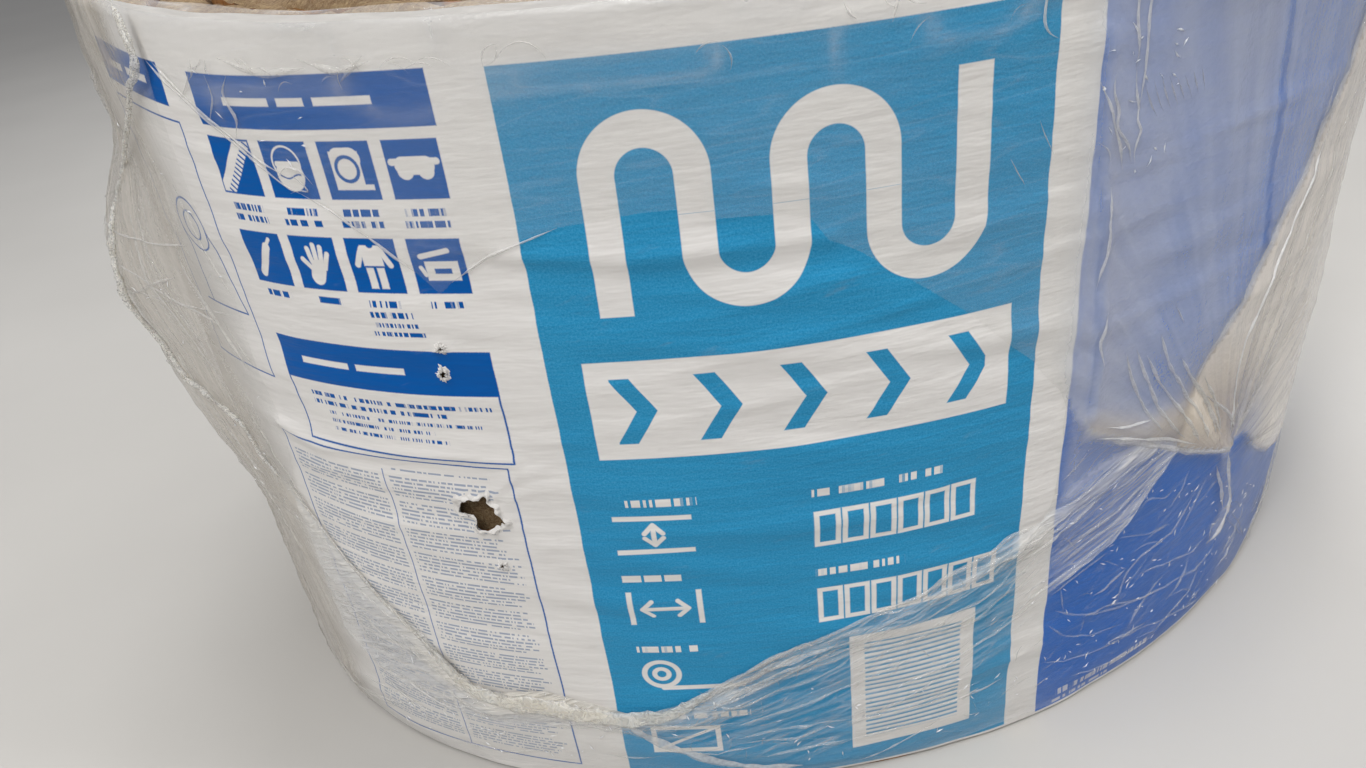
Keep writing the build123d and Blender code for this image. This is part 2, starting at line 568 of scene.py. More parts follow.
def place_wool(column, row):
    column, row = counted(column, row)
    heading, length = headings[column], lengths[column]
    q, up = ACROSS[row], UP[row]
    inner, outer = inner_half(heading), outer_half(heading)
    half = inner + (outer - inner) * (0.02 + 0.95 * q)
    at_top, at_bottom = up == 1, up == 0
    crown = CROWN * np.abs(2 * q - 1) ** 2.6
    tufts = 2.4 * waves(length / 24, q * 2.2 + 9, 31) + 1.5 * waves(length / 9, q * 5 + 3, 32)
    tufts += 0.9 * waves(length / 5, q * 9, 33)
    z = up * WIDTH
    z = np.where(at_top, WIDTH - crown - 1.6 + np.minimum(tufts, 2.6), z)
    z = np.where(at_bottom, np.maximum(crown * 0.7 + tufts * 0.7, 0.0), z)
    x, y = oval_place(half, heading)
    out = 0.9 * waves(length / 14, q * 3 + up, 34) * np.sin(math.pi * q)
    out -= np.where(heading > LAST_TURN, dent(sleeve_run(heading), z) * q, 0)
    return np.stack([x + out * np.cos(heading), y + out * np.sin(heading), z], axis=-1) / 1000


bm = flat_grid(np.arange(len(headings)), np.arange(len(SECTION)))
wool = wound_piece("wool_turns", bm, place_wool)

# %% [markdown]
# The two cut ends of the strip are open loops after that. They are filled, and the loose fibres
# that hang out of them come from the finish.

# %% Close the cut ends of the strip
bm = bmesh.new()
bm.from_mesh(wool.data)
bmesh.ops.holes_fill(bm, edges=[e for e in bm.edges if e.is_boundary], sides=0)
bmesh.ops.recalc_face_normals(bm, faces=bm.faces)
print("open edges left", sum(e.is_boundary for e in bm.edges))
bm.to_mesh(wool.data)
bm.free()
wool.data.shade_smooth()


# %% [markdown]
# ## Kraft facing
# The brown paper lies on the outside of each turn. Its cut edges stand in the grooves between the
# turns, a little uneven, and its last turn lies under the sleeve, where the puncture shows it.

# %% Paper ribbon
PAPER_ROWS = [0, 3, 9, 60, 120, 150, 158, 166, 174, 182, 190, 200, 260, 330, 370, 376, 379]


def place_paper(column, row):
    column, row = counted(column, row)
    heading, length, level_z = headings[column], lengths[column], np.array(PAPER_ROWS, float)[row]
    near_top, near_bottom = step(level_z, RIM, PAPER_ROWS[-1]), 1 - step(level_z, 0, 12)
    z = level_z + near_top * (1.4 * sway(length / 38, 41) + 0.8 * sway(length / 11, 42))
    z += near_bottom * (1.3 + 1.2 * sway(length / 30, 43, row=5))
    lean = near_top * 2.0 * sway(length / 17, 44, row=2) - near_top * 0.6
    lean += near_bottom * 1.5 * sway(length / 17, 45, row=7)
    crumple = 0.25 * waves(length / 20, level_z / 30, 46)
    on_last = step(heading, LAST_TURN, LAST_TURN + END_EASE)
    half = outer_half(heading) - 0.3 * (1 - on_last)
    x, y = oval_place(half, heading)
    off = np.where(on_last > 0, np.minimum(lean, 0.4), lean) + crumple + 0.5 * on_last
    off -= on_last * dent(sleeve_run(heading), z)
    return np.stack([x + off * np.cos(heading), y + off * np.sin(heading), z], axis=-1) / 1000


bm = flat_grid(np.arange(len(headings)), np.arange(len(PAPER_ROWS)))
paper = wound_piece("kraft_turns", bm, place_paper, merge=False)

# %% [markdown]
# ## Sleeve
# The film sleeve is tight, with long soft ripples round the roll, a few named creases, and the
# ragged puncture. The outlines are in s and z, in millimetres.

# %% Holes and named creases of the sleeve
PUNCTURE = [
    (-248, 183.4), (-243.6, 185), (-241.3, 184.4), (-238.8, 184.3), (-236, 186.4), (-234.2, 184.6),
    (-235.4, 182.4), (-232.6, 180.2), (-230.7, 178.4), (-229.6, 175.2), (-227.6, 172),
    (-234.4, 168.4), (-238.1, 166.8), (-241.3, 167.2), (-243.2, 169.3), (-242.4, 173),
    (-243.9, 175.2), (-245.4, 175.5), (-249.4, 174.4), (-251.2, 176.2), (-249.7, 179.3),
]
NICKS = [
    [(-240.2, 258), (-238, 260.6), (-235.8, 259.4), (-236.6, 257.2)],
    [(-241.6, 246.6), (-240, 249.8), (-237.6, 248.4), (-238, 244.8), (-240.4, 244.6)],
    [(-237.6, 146), (-236, 148.8), (-233.8, 147.6), (-234.8, 145.4)],
]
# Lines of the sleeve's own creases, each with its height and its reach
CREASES = [
    ([(-349, 205), (-326, 199), (-296, 202), (-267, 204), (-243, 206), (-218, 204)], 1.5, 3.0),
    ([(-205, 297), (-182, 295), (-160, 292), (-134, 293), (-109, 293), (-84, 292)], 1.4, 3.2),
    ([(-205, 289), (-182, 287), (-160, 284), (-134, 285), (-109, 285), (-84, 285)], -1.2, 3.4),
    ([(-232, 186), (-222, 196), (-206, 201)], 0.9, 1.8),
    ([(-228, 182), (-214, 190), (-200, 192)], 0.8, 1.8),
    ([(-214, 160), (-160, 166), (-100, 160), (-40, 170)], 0.7, 4.0),
    ([(-190, 236), (-120, 246), (-60, 240), (0, 236)], 0.6, 5.0),
]
print("holes in the sleeve", 1 + len(NICKS), "and named creases", len(CREASES))

# %% [markdown]
# The rim of the films stands a little over the wool, most of all at the left. The relief adds the
# ripples, the creases and the puckers round the holes. A soft floor keeps the sleeve outside the
# paper: it lets the relief fall to half a millimetre below the plain oval and no further.

# %% Relief of the sleeve
SLEEVE_LOW, SLEEVE_HIGH = 1.5, 379.5
FLOOR, FLOOR_SHARPNESS = -0.55, 3

rim_rise = curve(
    [
        (-990, 1.5), (-640, 1.5), (-480, 4), (-380, 4.5), (-340, 8), (-325, 9.5), (-300, 7),
        (-258, 4.8), (-200, 3.4), (0, 2.8), (300, 2), (990, 1.5),
    ]
)
left_rise = curve(
    [
        (-990, 0), (-650, 0), (-520, 8), (-440, 12), (-400, 12), (-380, 10), (-345, 3), (-322, 0),
        (990, 0),
    ]
)


def stand_up(s, z):
    """How far the upper part of the films stands higher than the plain oval, in mm."""
    return rim_rise(s) * step(z, RIM, SLEEVE_HIGH) + left_rise(s) * step(z, 290, 345)


def sleeve_relief(s, z):
    """How far the sleeve stands off the plain oval, in mm."""
    share = s / AROUND + 0.5
    tilt = 26 * np.sin(CIRCLE * share * 2 + 0.6)
    relief = 1.1 * waves(share * 13, z / 120, 1, 13)
    patch = 0.55 + 0.9 * np.abs(waves(share * 24, z / 60, 8, 24))
    relief += patch * 0.8 * waves(share * 22, (z + tilt) / 12.5, 2, 22)
    relief += patch * 0.9 * (ridges(share * 16, (z - tilt) / 22, 3, 16) ** 2 - 0.4)
    relief += 0.26 * waves(share * 60, (z + tilt) / 5.5, 4, 60)
    for corners, height, reach in CREASES:
        relief += height * near_line(s, z, corners, reach)
    relief += near_line(s, z, closed(PUNCTURE), 4.5) * (0.9 + 1.1 * waves(s / 3.1, z / 3.1, 5))
    for nick in NICKS:
        relief += 0.7 * near_line(s, z, closed(nick), 2.2)
    sharp = FLOOR_SHARPNESS
    relief = np.log(np.exp(relief * sharp) + np.exp(FLOOR * sharp)) / sharp
    rim = np.maximum(step(z, RIM, SLEEVE_HIGH), 1 - step(z, SLEEVE_LOW, 10))
    relief *= 1 - 0.6 * rim
    return relief + rim * (0.9 * sway(share * 60, 6, 60) - 0.5)


def place_sleeve(s, z):
    share = s / AROUND + 0.5
    uneven = 0.9 * sway(share * 34, 7, 34) + 0.5 * sway(share * 90, 8, 90)
    rise = step(z, RIM, SLEEVE_HIGH) * uneven
    return wound(s, z + rise + stand_up(s, z), sleeve_relief(s, z))


columns = graded([(-BACK, 7.0), (-560, 4.0), (-430, 2.4), (300, 4.0), (480, 7.0), (BACK, 7.0)])
rows = graded([(SLEEVE_LOW, 2.45), (SLEEVE_HIGH, 2.45)])
bm = flat_grid(columns, rows, [PUNCTURE] + NICKS)
sleeve = wound_piece("film_sleeve", bm, place_sleeve)

# %% [markdown]
# ## Torn edge of the puncture
# The tear leaves a crumpled white lip. It is a narrow ring that starts on the outline of the hole,
# curls up, and comes back down on to the sleeve a few millimetres out.

# %% Torn lip
def closed_line(corners, count):
    """Evenly spaced places round a closed outline, and the outward direction at each."""
    loop = np.array(closed(corners), float)
    length = np.append(0, np.cumsum(np.hypot(*np.diff(loop, axis=0).T)))
    even = np.linspace(0, length[-1], count + 1)
    s, z = np.interp(even, length, loop[:, 0]), np.interp(even, length, loop[:, 1])
    out_s, out_z = s - s.mean(), z - z.mean()
    size = np.hypot(out_s, out_z)
    return s, z, out_s / size, out_z / size


def torn_lip(name, outline, width, lift, seed):
    """A crumpled lip round a hole, that wide and that high in mm."""
    around, rings, cells = 120, 8, 36
    line_s, line_z, out_s, out_z = closed_line(outline, around)

    def place(column, row):
        column, row = counted(column, row)
        share, angle = row / rings, column / around * cells
        reach = width * (0.75 + 0.5 * sway(angle, seed, cells)) * share - 0.8 * (1 - share)
        s = line_s[column] + out_s[column] * reach + 0.5 * waves(angle, share * 3, seed + 1, cells)
        z = line_z[column] + out_z[column] * reach + 0.5 * waves(angle, share * 3, seed + 2, cells)
        curl = np.sin(math.pi * (0.25 + 0.75 * share))
        high = lift * curl * (0.9 + 0.8 * waves(angle, share * 2, seed + 3, cells))
        return wound(s, z, sleeve_relief(s, z) + high * (1 - share) ** 0.3 + 0.15 - 0.35 * share)

    return wound_piece(name, flat_grid(np.arange(around + 1), np.arange(rings + 1)), place)


lips = [torn_lip("torn_lip", PUNCTURE, 3.6, 1.4, 51)]
lips += [torn_lip(f"nick_lip_{i}", nick, 2.0, 0.9, 55 + 5 * i) for i, nick in enumerate(NICKS)]

# %% [markdown]
# ## Stretch film
# The film is wound tightly over the sleeve, but it leaves a lens-shaped part of the front bare. At
# the left it is pulled off the roll as a loose fold, and at the right it is gathered to a point. It
# is one sheet with the opening cut out. How it lies, how milky it is and which way its creases run
# differ from place to place, so each of these zones is a smooth share from 0 to 1.

# %% Lines of the film
FILM_LOW, FILM_TOP, COLLAR = 4.0, 377.0, 14
# The edge of the opening, round from its upper left corner
OPENING = [
    (-346, 371), (-336, 362), (-321, 352), (-315, 347), (-300, 335), (-288, 325), (-281, 322),
    (-270, 316), (-256, 305), (-239, 290), (-232, 282), (-226, 287), (-217, 294), (-208, 298),
    (-196, 303), (-181, 307), (-151, 310), (-136, 310), (-124, 305), (-101, 304), (-91, 301),
    (-85, 292), (-73, 285), (-60, 275), (-47, 265), (-31, 252), (-21, 242), (-10, 231), (0, 222),
    (7, 212), (15, 203), (19, 194), (18, 186), (19.4, 174), (19, 157), (17, 142), (12, 134),
    (3, 132.6), (-5, 132), (-16, 125), (-33, 121), (-48, 111), (-65, 108), (-89, 99), (-118, 88),
    (-136, 77), (-148, 70), (-159, 63), (-172, 57), (-191, 55), (-208, 60), (-233, 66), (-257, 60),
    (-274, 61), (-293, 91), (-321, 114), (-346, 141), (-362, 163), (-352, 184), (-347, 206),
    (-351, 231), (-350, 252), (-346, 276), (-348, 297), (-351, 312), (-350, 334), (-349, 351),
]
# The point that the film is gathered to, and the edges of the fan above it and beside it. The
# fan's edge is given as (z, s), because it stands upright.
GATHER = (137.0, 114.0)
FAN_EDGE = [
    (0, 60), (110, 84), (165, 95), (180, 101), (201, 116), (222, 133), (246, 150), (262, 169),
    (278, 181), (298, 197), (315, 211), (350, 238), (385, 268),
]
GATHERED_EDGE = [
    (10, 215), (19, 195), (31, 176), (50, 166), (68, 157), (86, 147), (104, 136), (125, 126),
    (140, 120), (158, 121), (172, 107), (187, 94), (210, 80), (300, 60),
]
# The band of film that runs along below the opening
BAND_TOP = [
    (-420, 178), (-372, 165), (-348, 139), (-321, 114), (-293, 91), (-274, 61), (-233, 66),
    (-208, 60), (-191, 55), (-172, 57), (-159, 63), (-148, 70), (-136, 77), (-118, 88), (-89, 99),
    (-65, 108), (-48, 111), (-33, 121), (-16, 125), (-5, 132), (12, 134), (24, 143), (45, 153),
    (76, 156), (92, 146), (120, 126), (230, 70),
]
BAND_LOW = [
    (-420, 90), (-330, 45), (-260, 36), (-210, 44), (-182, 37), (-163, 30), (-139, 18), (-109, 14),
    (-60, 36), (0, 62), (20, 88), (54, 102), (67, 113), (80, 130), (92, 142), (230, 40),
]
# Clear slits in the film above the band, and lines along which it has run together
SLIT = [(18, 345), (21, 304), (26, 276), (28, 244), (30, 214), (30, 187)]
DARK_LINE = [(119, 372), (121, 340), (124, 315), (128, 289), (130, 267), (137, 233)]
LOW_GATHER = [
    (-362, 152), (-335, 124), (-306, 96), (-285, 66), (-262, 54), (-233, 60), (-208, 54),
    (-186, 54), (-165, 68), (-140, 72),
]
BAND_LINE = [
    (-16, 121), (-4, 127), (10, 131), (22, 137), (33, 140), (47, 146), (59, 152), (74, 151)
]
SECOND_BAND = [(20, 91), (36, 99), (54, 106), (67, 118), (78, 131), (88, 142)]
TAIL = [(137, 122), (148, 100), (156, 84), (157, 72), (150, 60)]
MASS = [(29, 180), (44, 174), (74, 163), (97, 158), (114, 146), (131, 126)]
CORE = [(78, 160), (90, 160), (102, 158), (113, 148), (126, 134)]
STRAND = [
    (-176, 47), (-158, 55), (-136, 69), (-118, 80), (-89, 92), (-65, 101), (-48, 104), (-33, 113),
    (-16, 118), (0, 125), (22, 131),
]


def area(corners):
    """Area inside an outline, by the cross products of its corners."""
    pairs = zip(corners, closed(corners)[1:])
    return 0.5 * abs(sum(a[0] * b[1] - b[0] * a[1] for a, b in pairs))


opening_area = area(OPENING) / 1e6
print("opening", round(opening_area * 1e4), "square cm")

# %% [markdown]
# The zones are found by comparing a place with those lines. Each share fades over a few
# millimetres, and a zone keeps clear of its neighbours, because the finish changes from one to the
# next.

# %% Zones and milkiness of the film
fold_round = curve([(-640, 0), (-620, 0), (-590, 4), (-550, 14), (-520, 24), (-490, 30), (-460, 29),
                    (-428, 24), (-400, 14), (-374, 5.5), (-354, 0.6), (-335, 0), (-300, 0)])
fold_up = curve(
    [
        (0, 0.02), (100, 0.02), (128, 0.05), (150, 0.24), (168, 0.42), (187, 0.6), (207, 0.72),
        (232, 0.76), (246, 0.93), (262, 1), (274, 0.97), (286, 0.82), (296, 0.62), (306, 0.38),
        (316, 0.14), (328, 0.03), (381, 0),
    ]
)


def between_lines(s, z):
    """Shares of the film's zones at s and z."""
    fan_s, gathered_z = level_on(FAN_EDGE, z), level_on(GATHERED_EDGE, s)
    band_top, band_low = level_on(BAND_TOP, s), level_on(BAND_LOW, s)
    upper = step(z - gathered_z, -2, 3) * step(s, 4, 22)
    fan = upper * step(s - fan_s, -1, 4) * (1 - step(s, 330, 430))
    left = step(-s, 346, 380) * (1 - step(-s, 560, 650))
    band = step(z, band_low - 3, band_low + 5) * (1 - step(z, band_top - 1, band_top + 5))
    band = band * (1 - left) * step(s, -470, -400) * (1 - step(s, 84, 98)) * (1 - upper)
    hidden = step(s, 380, 460) + step(-s, 520, 640)
    lower_right = (1 - step(z - gathered_z, -3, 2)) * step(s, 16, 40) * (1 - hidden) * (1 - band)
    return {"fan": fan, "band": band, "left": left, "hidden": hidden,
            "upper": upper * (1 - hidden), "lower_right": lower_right}


def about_gather(s, z):
    """The angle and the distance of a place from the point that the film is gathered to."""
    return np.arctan2(z - GATHER[1], s - GATHER[0]), np.hypot(s - GATHER[0], z - GATHER[1])


def milkiness(s, z):
    """How white the film is, from 0, clear, to 1."""
    zone = between_lines(s, z)
    share = s / AROUND + 0.5
    fan, upper, band, lower_right = (zone[name] for name in ("fan", "upper", "band", "lower_right"))

    def near(line, reach):
        return near_line(s, z, line, reach)

    haze = 0.05 + 0.03 * waves(share * 18, z / 70, 61, 18)
    # Milky wrinkles under the rim, made whiter because they stand for the lamps' glare there: partly
    # real milky film, partly a painted highlight.
    haze += 0.2 * ridges(share * 60, z / 12, 66, 60) ** 6 * step(z, 340, 362) * (1 - upper)
    haze += zone["left"] * (0.4 + 0.07 * waves(s / 22, z / 60, 62))
    soft = 0.05 * waves(s / 34, z / 120, 63) + 0.035 * waves(s / 14 + 4, z / 160, 65)
    near_slit = 0.05 * step(z, 150, 260) * (1 - step(s, 60, 120))
    haze += upper * (1 - fan) * (0.3 + soft + near_slit)
    haze += upper * (-0.14 * near(SLIT, 2.6) - 0.2 * near(DARK_LINE, 2.2))
    haze += upper * (0.2 * near(MASS, 9) + 0.16 * near(CORE, 12))
    _, from_gather = about_gather(s, z)
    haze += fan * (0.72 - 0.3 * step(s, 240, 360)) * (0.5 + 0.5 * step(from_gather, 12, 70))
    haze += band * (0.05 + 0.24 * step(-s, 160, 230) + 0.14 * step(s, 14, 24))
    haze += 0.34 * near(LOW_GATHER, 9) * (1 - 0.55 * step(z, 66, 110))
    haze += 0.3 * near(BAND_LINE, 2.8) * step(s, -30, 0)
    haze += near(STRAND, 6.5) * band * (0.1 + 0.13 * waves(s / 7, z / 3, 67))
    haze += 0.1 * near(SECOND_BAND, 3)
    haze += 0.3 * near(TAIL, 4.5)
    haze += 0.12 * near(GATHERED_EDGE[2:10], 3)
    over_band = (1 - upper) * step(s, 18, 26) * (1 - step(s, 84, 96))
    haze += 0.26 * (over_band * step(z - level_on(BAND_TOP, s), -2, 3))
    haze += zone["hidden"] * (0.14 + 0.08 * waves(share * 26, z / 50, 64, 26))
    haze -= lower_right * 0.02
    haze += 0.16 * lower_right * step(s, 150, 175)
    rim = np.maximum(step(z, RIM, FILM_TOP), 1 - step(z, FILM_LOW, 12))
    return np.clip(haze + rim * 0.1, 0.03, 0.95)


# %% [markdown]
# The relief of the film goes on top of the sleeve's, or on top of the loose fold where that is
# higher. Each zone has its own folds: they run together at the gathered point, lie along the band,
# stand upright at the left, and cross each other low down at the right.

# %% Relief of the film
def film_relief(s, z):
    """How far the film stands off the plain oval, in mm."""
    zone = between_lines(s, z)
    share = s / AROUND + 0.5
    tilt = 30 * np.sin(CIRCLE * share * 2 + 1.1)
    lift = 0.55 + 0.25 * (1 + waves(share * 30, z / 40, 71, 30))
    lift += 0.6 * ridges(share * 24, (z + tilt) / 21, 72, 24) ** 6
    lift += zone["hidden"] * 0.9 * ridges(share * 90, (z - 1.6 * tilt) / 26, 73, 90) ** 5
    angle, reach = about_gather(s, z)
    fan_folds = ridges(angle * 3 + 40, reach / 190 + 3, 74) ** 1.2
    pleats = ridges(angle * 11 + 40, reach / 60 + 3, 70) ** 3
    near = np.exp(-reach / 45) * step(reach, 6, 26)
    lift += zone["fan"] * (2.8 * fan_folds + 0.25 * pleats)
    lift += zone["upper"] * near * 1.5 * pleats
    lift += zone["upper"] * (1 - zone["fan"]) * 0.9 * ridges(s / 26 + 30, z / 150, 69) ** 2
    slit, _, _ = from_line(s, z, SLIT)
    lift += zone["upper"] * 1.5 * np.exp(-(((slit - 3.5) / 2.2) ** 2))
    band_middle = level_on(BAND_TOP, s) * 0.5 + level_on(BAND_LOW, s) * 0.5
    band_folds = ridges(s / 60 + 20, (z - band_middle) / 9 + 12, 75) ** 3
    lift += zone["band"] * (1.7 * band_folds + 0.4)
    gathers = ridges((s + z) / 34 + 20, (z - 0.45 * s) / 6.5 + 40, 82) ** 2
    lift += zone["band"] * near_line(s, z, STRAND, 7.5) * (0.5 + 1.5 * gathers)
    left_folds = ridges((s + 0.22 * (z - 200)) / 11 + 80, z / 110, 76) ** 3
    lift += zone["left"] * 1.3 * left_folds
    bend_s, bend_z = 0.6 * waves(s / 30, z / 30, 77), 0.6 * waves(s / 26, z / 34, 78)
    crinkles = ridges(s / 24 + bend_s + 30, z / 17 + bend_z, 79)
    lift += zone["lower_right"] * 0.9 * crinkles ** 5
    lift += 0.9 * near_line(s, z, LOW_GATHER, 8.0) * (0.6 + 0.5 * waves(s / 9, z / 9, 81))
    for line, height, width in (
        (MASS, 2.0, 7), (BAND_LINE, 1.3, 4), (SECOND_BAND, 1.0, 4), (TAIL, 1.8, 5)
    ):
        lift += height * near_line(s, z, line, width)
    from_edge, _, _ = from_line(s, z, closed(OPENING))
    lift *= 0.3 + 0.7 * step(from_edge, 0, 9)
    drape = fold_round(s) * fold_up(z) * (1 + 0.05 * waves(s / 40, z / 45, 80))
    return np.maximum(sleeve_relief(s, z), drape) + lift


# %% [markdown]
# The film's last rows are turned in over the wool as a collar, uneven in height and width. How
# milky it is and its zones are kept on the mesh as numbers for each vertex, for the finish to read.

# %% Stretch film with its opening
def place_film(s, z):
    share = s / AROUND + 0.5
    over = np.clip(z - FILM_TOP, 0, None)
    width = 4 + 5 * (1 + sway(share * 22, 91, 22)) + 3 * (1 + sway(share * 70, 92, 70))
    inward = np.minimum(over / COLLAR, 1) * width
    rise = 3.4 * np.sin(np.clip(over / COLLAR, 0, 1) * math.pi / 2)
    rise += step(z, FILM_TOP, FILM_TOP + COLLAR) * 1.2 * waves(share * 50, over / 5, 93, 50)
    flat_z = np.minimum(z, FILM_TOP)
    level_z = flat_z + rise + stand_up(s, flat_z + 2.5)
    level_z += (1 - step(z, FILM_LOW, 26)) * 2.0 * sway(share * 40, 94, 40)
    level_z += (1 - step(z, FILM_LOW, 12)) * 1.5
    return wound(s, np.maximum(level_z, 0.6), film_relief(s, flat_z) - inward)


def film_layers(s, z):
    return {"haze": milkiness(s, z)} | between_lines(s, z)


columns = graded([(-BACK, 7.0), (-640, 4.5), (-500, 2.7), (330, 4.5), (480, 7.0), (BACK, 7.0)])
rows = graded([(FILM_LOW, 2.7), (FILM_TOP, 2.8), (FILM_TOP + COLLAR, 2.8)])
bm = flat_grid(columns, rows, [OPENING])
film = wound_piece("wrap_film", bm, place_film, layers=film_layers)

# %% [markdown]
# ## Roped edges
# Where the film was pulled, its edge has run together into a crumpled rope. Each rope is a grid
# that is rolled up round a line: the section is uneven and flattened, and it twists along the line.

# %% A crumpled rope of film along a line
ROPE_FOLDS = 7


def smooth_run(points, spacing, soften=5.0):
    """Evenly spaced places along a line of (s, off, z, width) corners, which are softened."""
    points = np.array(points, float)
    length = np.append(0, np.cumsum(np.linalg.norm(np.diff(points[:, :3], axis=0), axis=1)))
    even = np.linspace(0, length[-1], max(8, round(length[-1] / spacing)))
    run = np.stack([np.interp(even, length, column) for column in points.T], axis=-1)
    reach = max(1, round(soften / spacing))
    kernel = np.hanning(2 * reach + 3)[1:-1]
    kernel /= kernel.sum()
    half = len(kernel) // 2
    padded = np.pad(run, ((half, half), (0, 0)), mode="reflect", reflect_type="odd")
    smooth = [np.convolve(column, kernel, mode="valid") for column in padded.T]
    return np.stack(smooth, axis=-1), even


def unit(vectors):
    return vectors / np.linalg.norm(vectors, axis=1, keepdims=True)


def film_rope(name, points, seed, flatness=0.6, around=18, spacing=1.1, twist=90.0, crushed=1.0):
    """Rope of film whose points are (s, off, z, width), in mm on the sleeve."""
    run, even = smooth_run(points, spacing)
    centre = wound(run[:, 0], run[:, 2], run[:, 1]) * 1000
    outer = wound(run[:, 0], run[:, 2], run[:, 1] + 1) * 1000 - centre
    along = unit(np.gradient(centre, axis=0))
    side = unit(np.cross(along, outer))
    outer = np.cross(side, along)

    def place(column, row):
        column, row = counted(column, row)
        length, width = even[column], run[column, 3]
        angle = row / around * CIRCLE
        cell = (row % around) / around * ROPE_FOLDS
        folded = cell + 0.8 * sway(length / 12, seed + 4)
        folds = ridges(folded, length / 15 + 2, seed, ROPE_FOLDS) ** 2
        crush = 0.4 * waves(cell, length / 6.5, seed + 1, ROPE_FOLDS)
        crush += 0.24 * waves(cell * 2, length / 2.3, seed + 2, 2 * ROPE_FOLDS)
        taper = np.clip(np.minimum(column, len(even) - 1 - column) / 5, 0.15, 1)
        radius = width / 2 * taper * (0.5 + 0.55 * folds + crushed * crush)
        turned = angle + length / twist * math.pi
        wide, high = radius * np.cos(turned), radius * np.sin(turned) * flatness
        wander = 0.5 * sway(length / 9, seed + 3)
        spot = centre[column] + side[column] * (wide + wander)[:, None]
        return (spot + outer[column] * (high + 0.2 * width)[:, None]) / 1000

    bm = flat_grid(np.arange(len(even)), np.arange(around + 1))
    return wound_piece(name, bm, place)


def on_film(points, width):
    """(s, off, z, width) corners that follow (s, z) points on the film."""
    s, z = np.array(points, float).T
    wide = np.interp(np.linspace(0, 1, len(points)), np.linspace(0, 1, len(width)), width)
    return np.stack([s, film_relief(s, z), z, wide], axis=-1)


# %% [markdown]
# The left rope stands free of the roll where the film is pulled off it, so its corners say how far
# off the sleeve they are. The two low ropes lie on the film and follow its relief.

# %% The ropes
LEFT_ROPE = [
    (-346, 4, 393, 4), (-345, 4, 381, 5), (-345, 4, 372, 5), (-349, 4, 366, 4.4),
    (-362, 4, 358, 3.8), (-370, 4.2, 349.5, 3.2), (-388, 4.5, 336.5, 3), (-420, 5.2, 318, 3.2),
    (-432, 12.4, 303, 4), (-433, 18, 291.5, 5), (-432, 21.6, 283.5, 5.6), (-430, 23, 277, 6),
    (-428, 25.2, 270, 6.2), (-427, 25.8, 256, 6.2), (-426, 23.4, 244.5, 5.6),
    (-424, 19, 231.5, 5.2), (-420, 17.9, 220, 4.6), (-412, 16, 213, 4.2), (-399, 11.8, 207.5, 3.6),
    (-383, 8.7, 202, 3), (-377, 6.5, 196, 2.6), (-376, 5.5, 181, 2.4), (-364, 4, 168, 3),
]
LOW_LEFT = [(-364, 168), (-346, 141), (-321, 114), (-296, 91), (-285, 76), (-276, 62)]
LOW_ROPE = [
    (-290, 84), (-274, 62), (-252, 57), (-233, 60), (-208, 56), (-191, 53), (-172, 55), (-158, 63),
    (-146, 71),
]
left_rope = film_rope("rope_left", LEFT_ROPE, 101)
low_ropes = [
    film_rope("rope_low_left", on_film(LOW_LEFT, [2, 3.4, 4.4, 7]), 105, 0.3, 16, 1.4, 240.0, 0.3),
    film_rope(
        "rope_low", on_film(LOW_ROPE, [7, 12, 13, 12, 11, 7, 3]), 109, 0.3, 20, 1.4, 300.0, 0.35
    ),
]

# %% [markdown]
# ## Creases
# Stretch film creases into narrow tents that catch the light as fine lines. Noise alone can't place
# them, so each is a small ridge along its own line: some follow lines seen on the real roll, and
# the others are scattered with the pull of each zone. All of them come from one long grid, five
# places wide, that is cut wherever one crease ends and the next begins.

# %% Lines of the creases
draw = np.random.default_rng(2024)
creases = []
SQUIGGLES = [
    [(26, 333), (24, 327), (29, 319), (27.5, 313), (34.6, 305), (37.6, 296)],
    [(35, 333), (36, 323), (38.6, 317), (36.8, 312), (40.5, 310), (37.3, 304), (39.4, 296)],
    [(18.7, 331), (23, 322), (25.5, 316), (31, 305), (33.4, 295)],
    [(19.5, 309), (24.4, 305.6), (26.4, 299.7)], [(38, 372), (38, 346), (39.4, 331), (38, 318)],
    [(31, 368), (32.8, 348), (35.2, 338), (34.5, 332)],
    [(-5.8, 371), (-6.6, 355), (-4.1, 350.7), (-0.4, 349)], [(-6, 322), (-2, 314), (1.3, 308)],
    [(-16.6, 310), (-10, 299)], [(28, 290), (30, 262), (27, 246)],
    [(33, 236), (31, 222), (34, 210)],
]
PLEATS = [
    [(47, 212), (53, 197), (65, 176), (76, 161)],
    [(53, 212), (61, 196), (74, 174), (84, 160), (96, 148)],
    [(60, 206), (71, 189), (83, 175), (96, 157), (108, 141)],
    [(67, 214), (76, 196), (90, 178), (103, 159), (114, 140)], [(75, 225), (82, 214)],
    [(94, 184), (110, 164), (127, 136)], [(106, 177), (118, 160), (130, 134)],
    [(109, 166), (129, 149), (140, 133)], [(84, 196), (98, 178), (113, 158), (123, 138)],
    [(40, 177), (52, 172), (70, 170)], [(36, 172), (60, 163), (84, 152), (106, 140)],
    [(140, 118), (149, 98), (158, 78), (155, 66), (143, 54)], [(134, 112), (146, 92), (153, 74)],
]
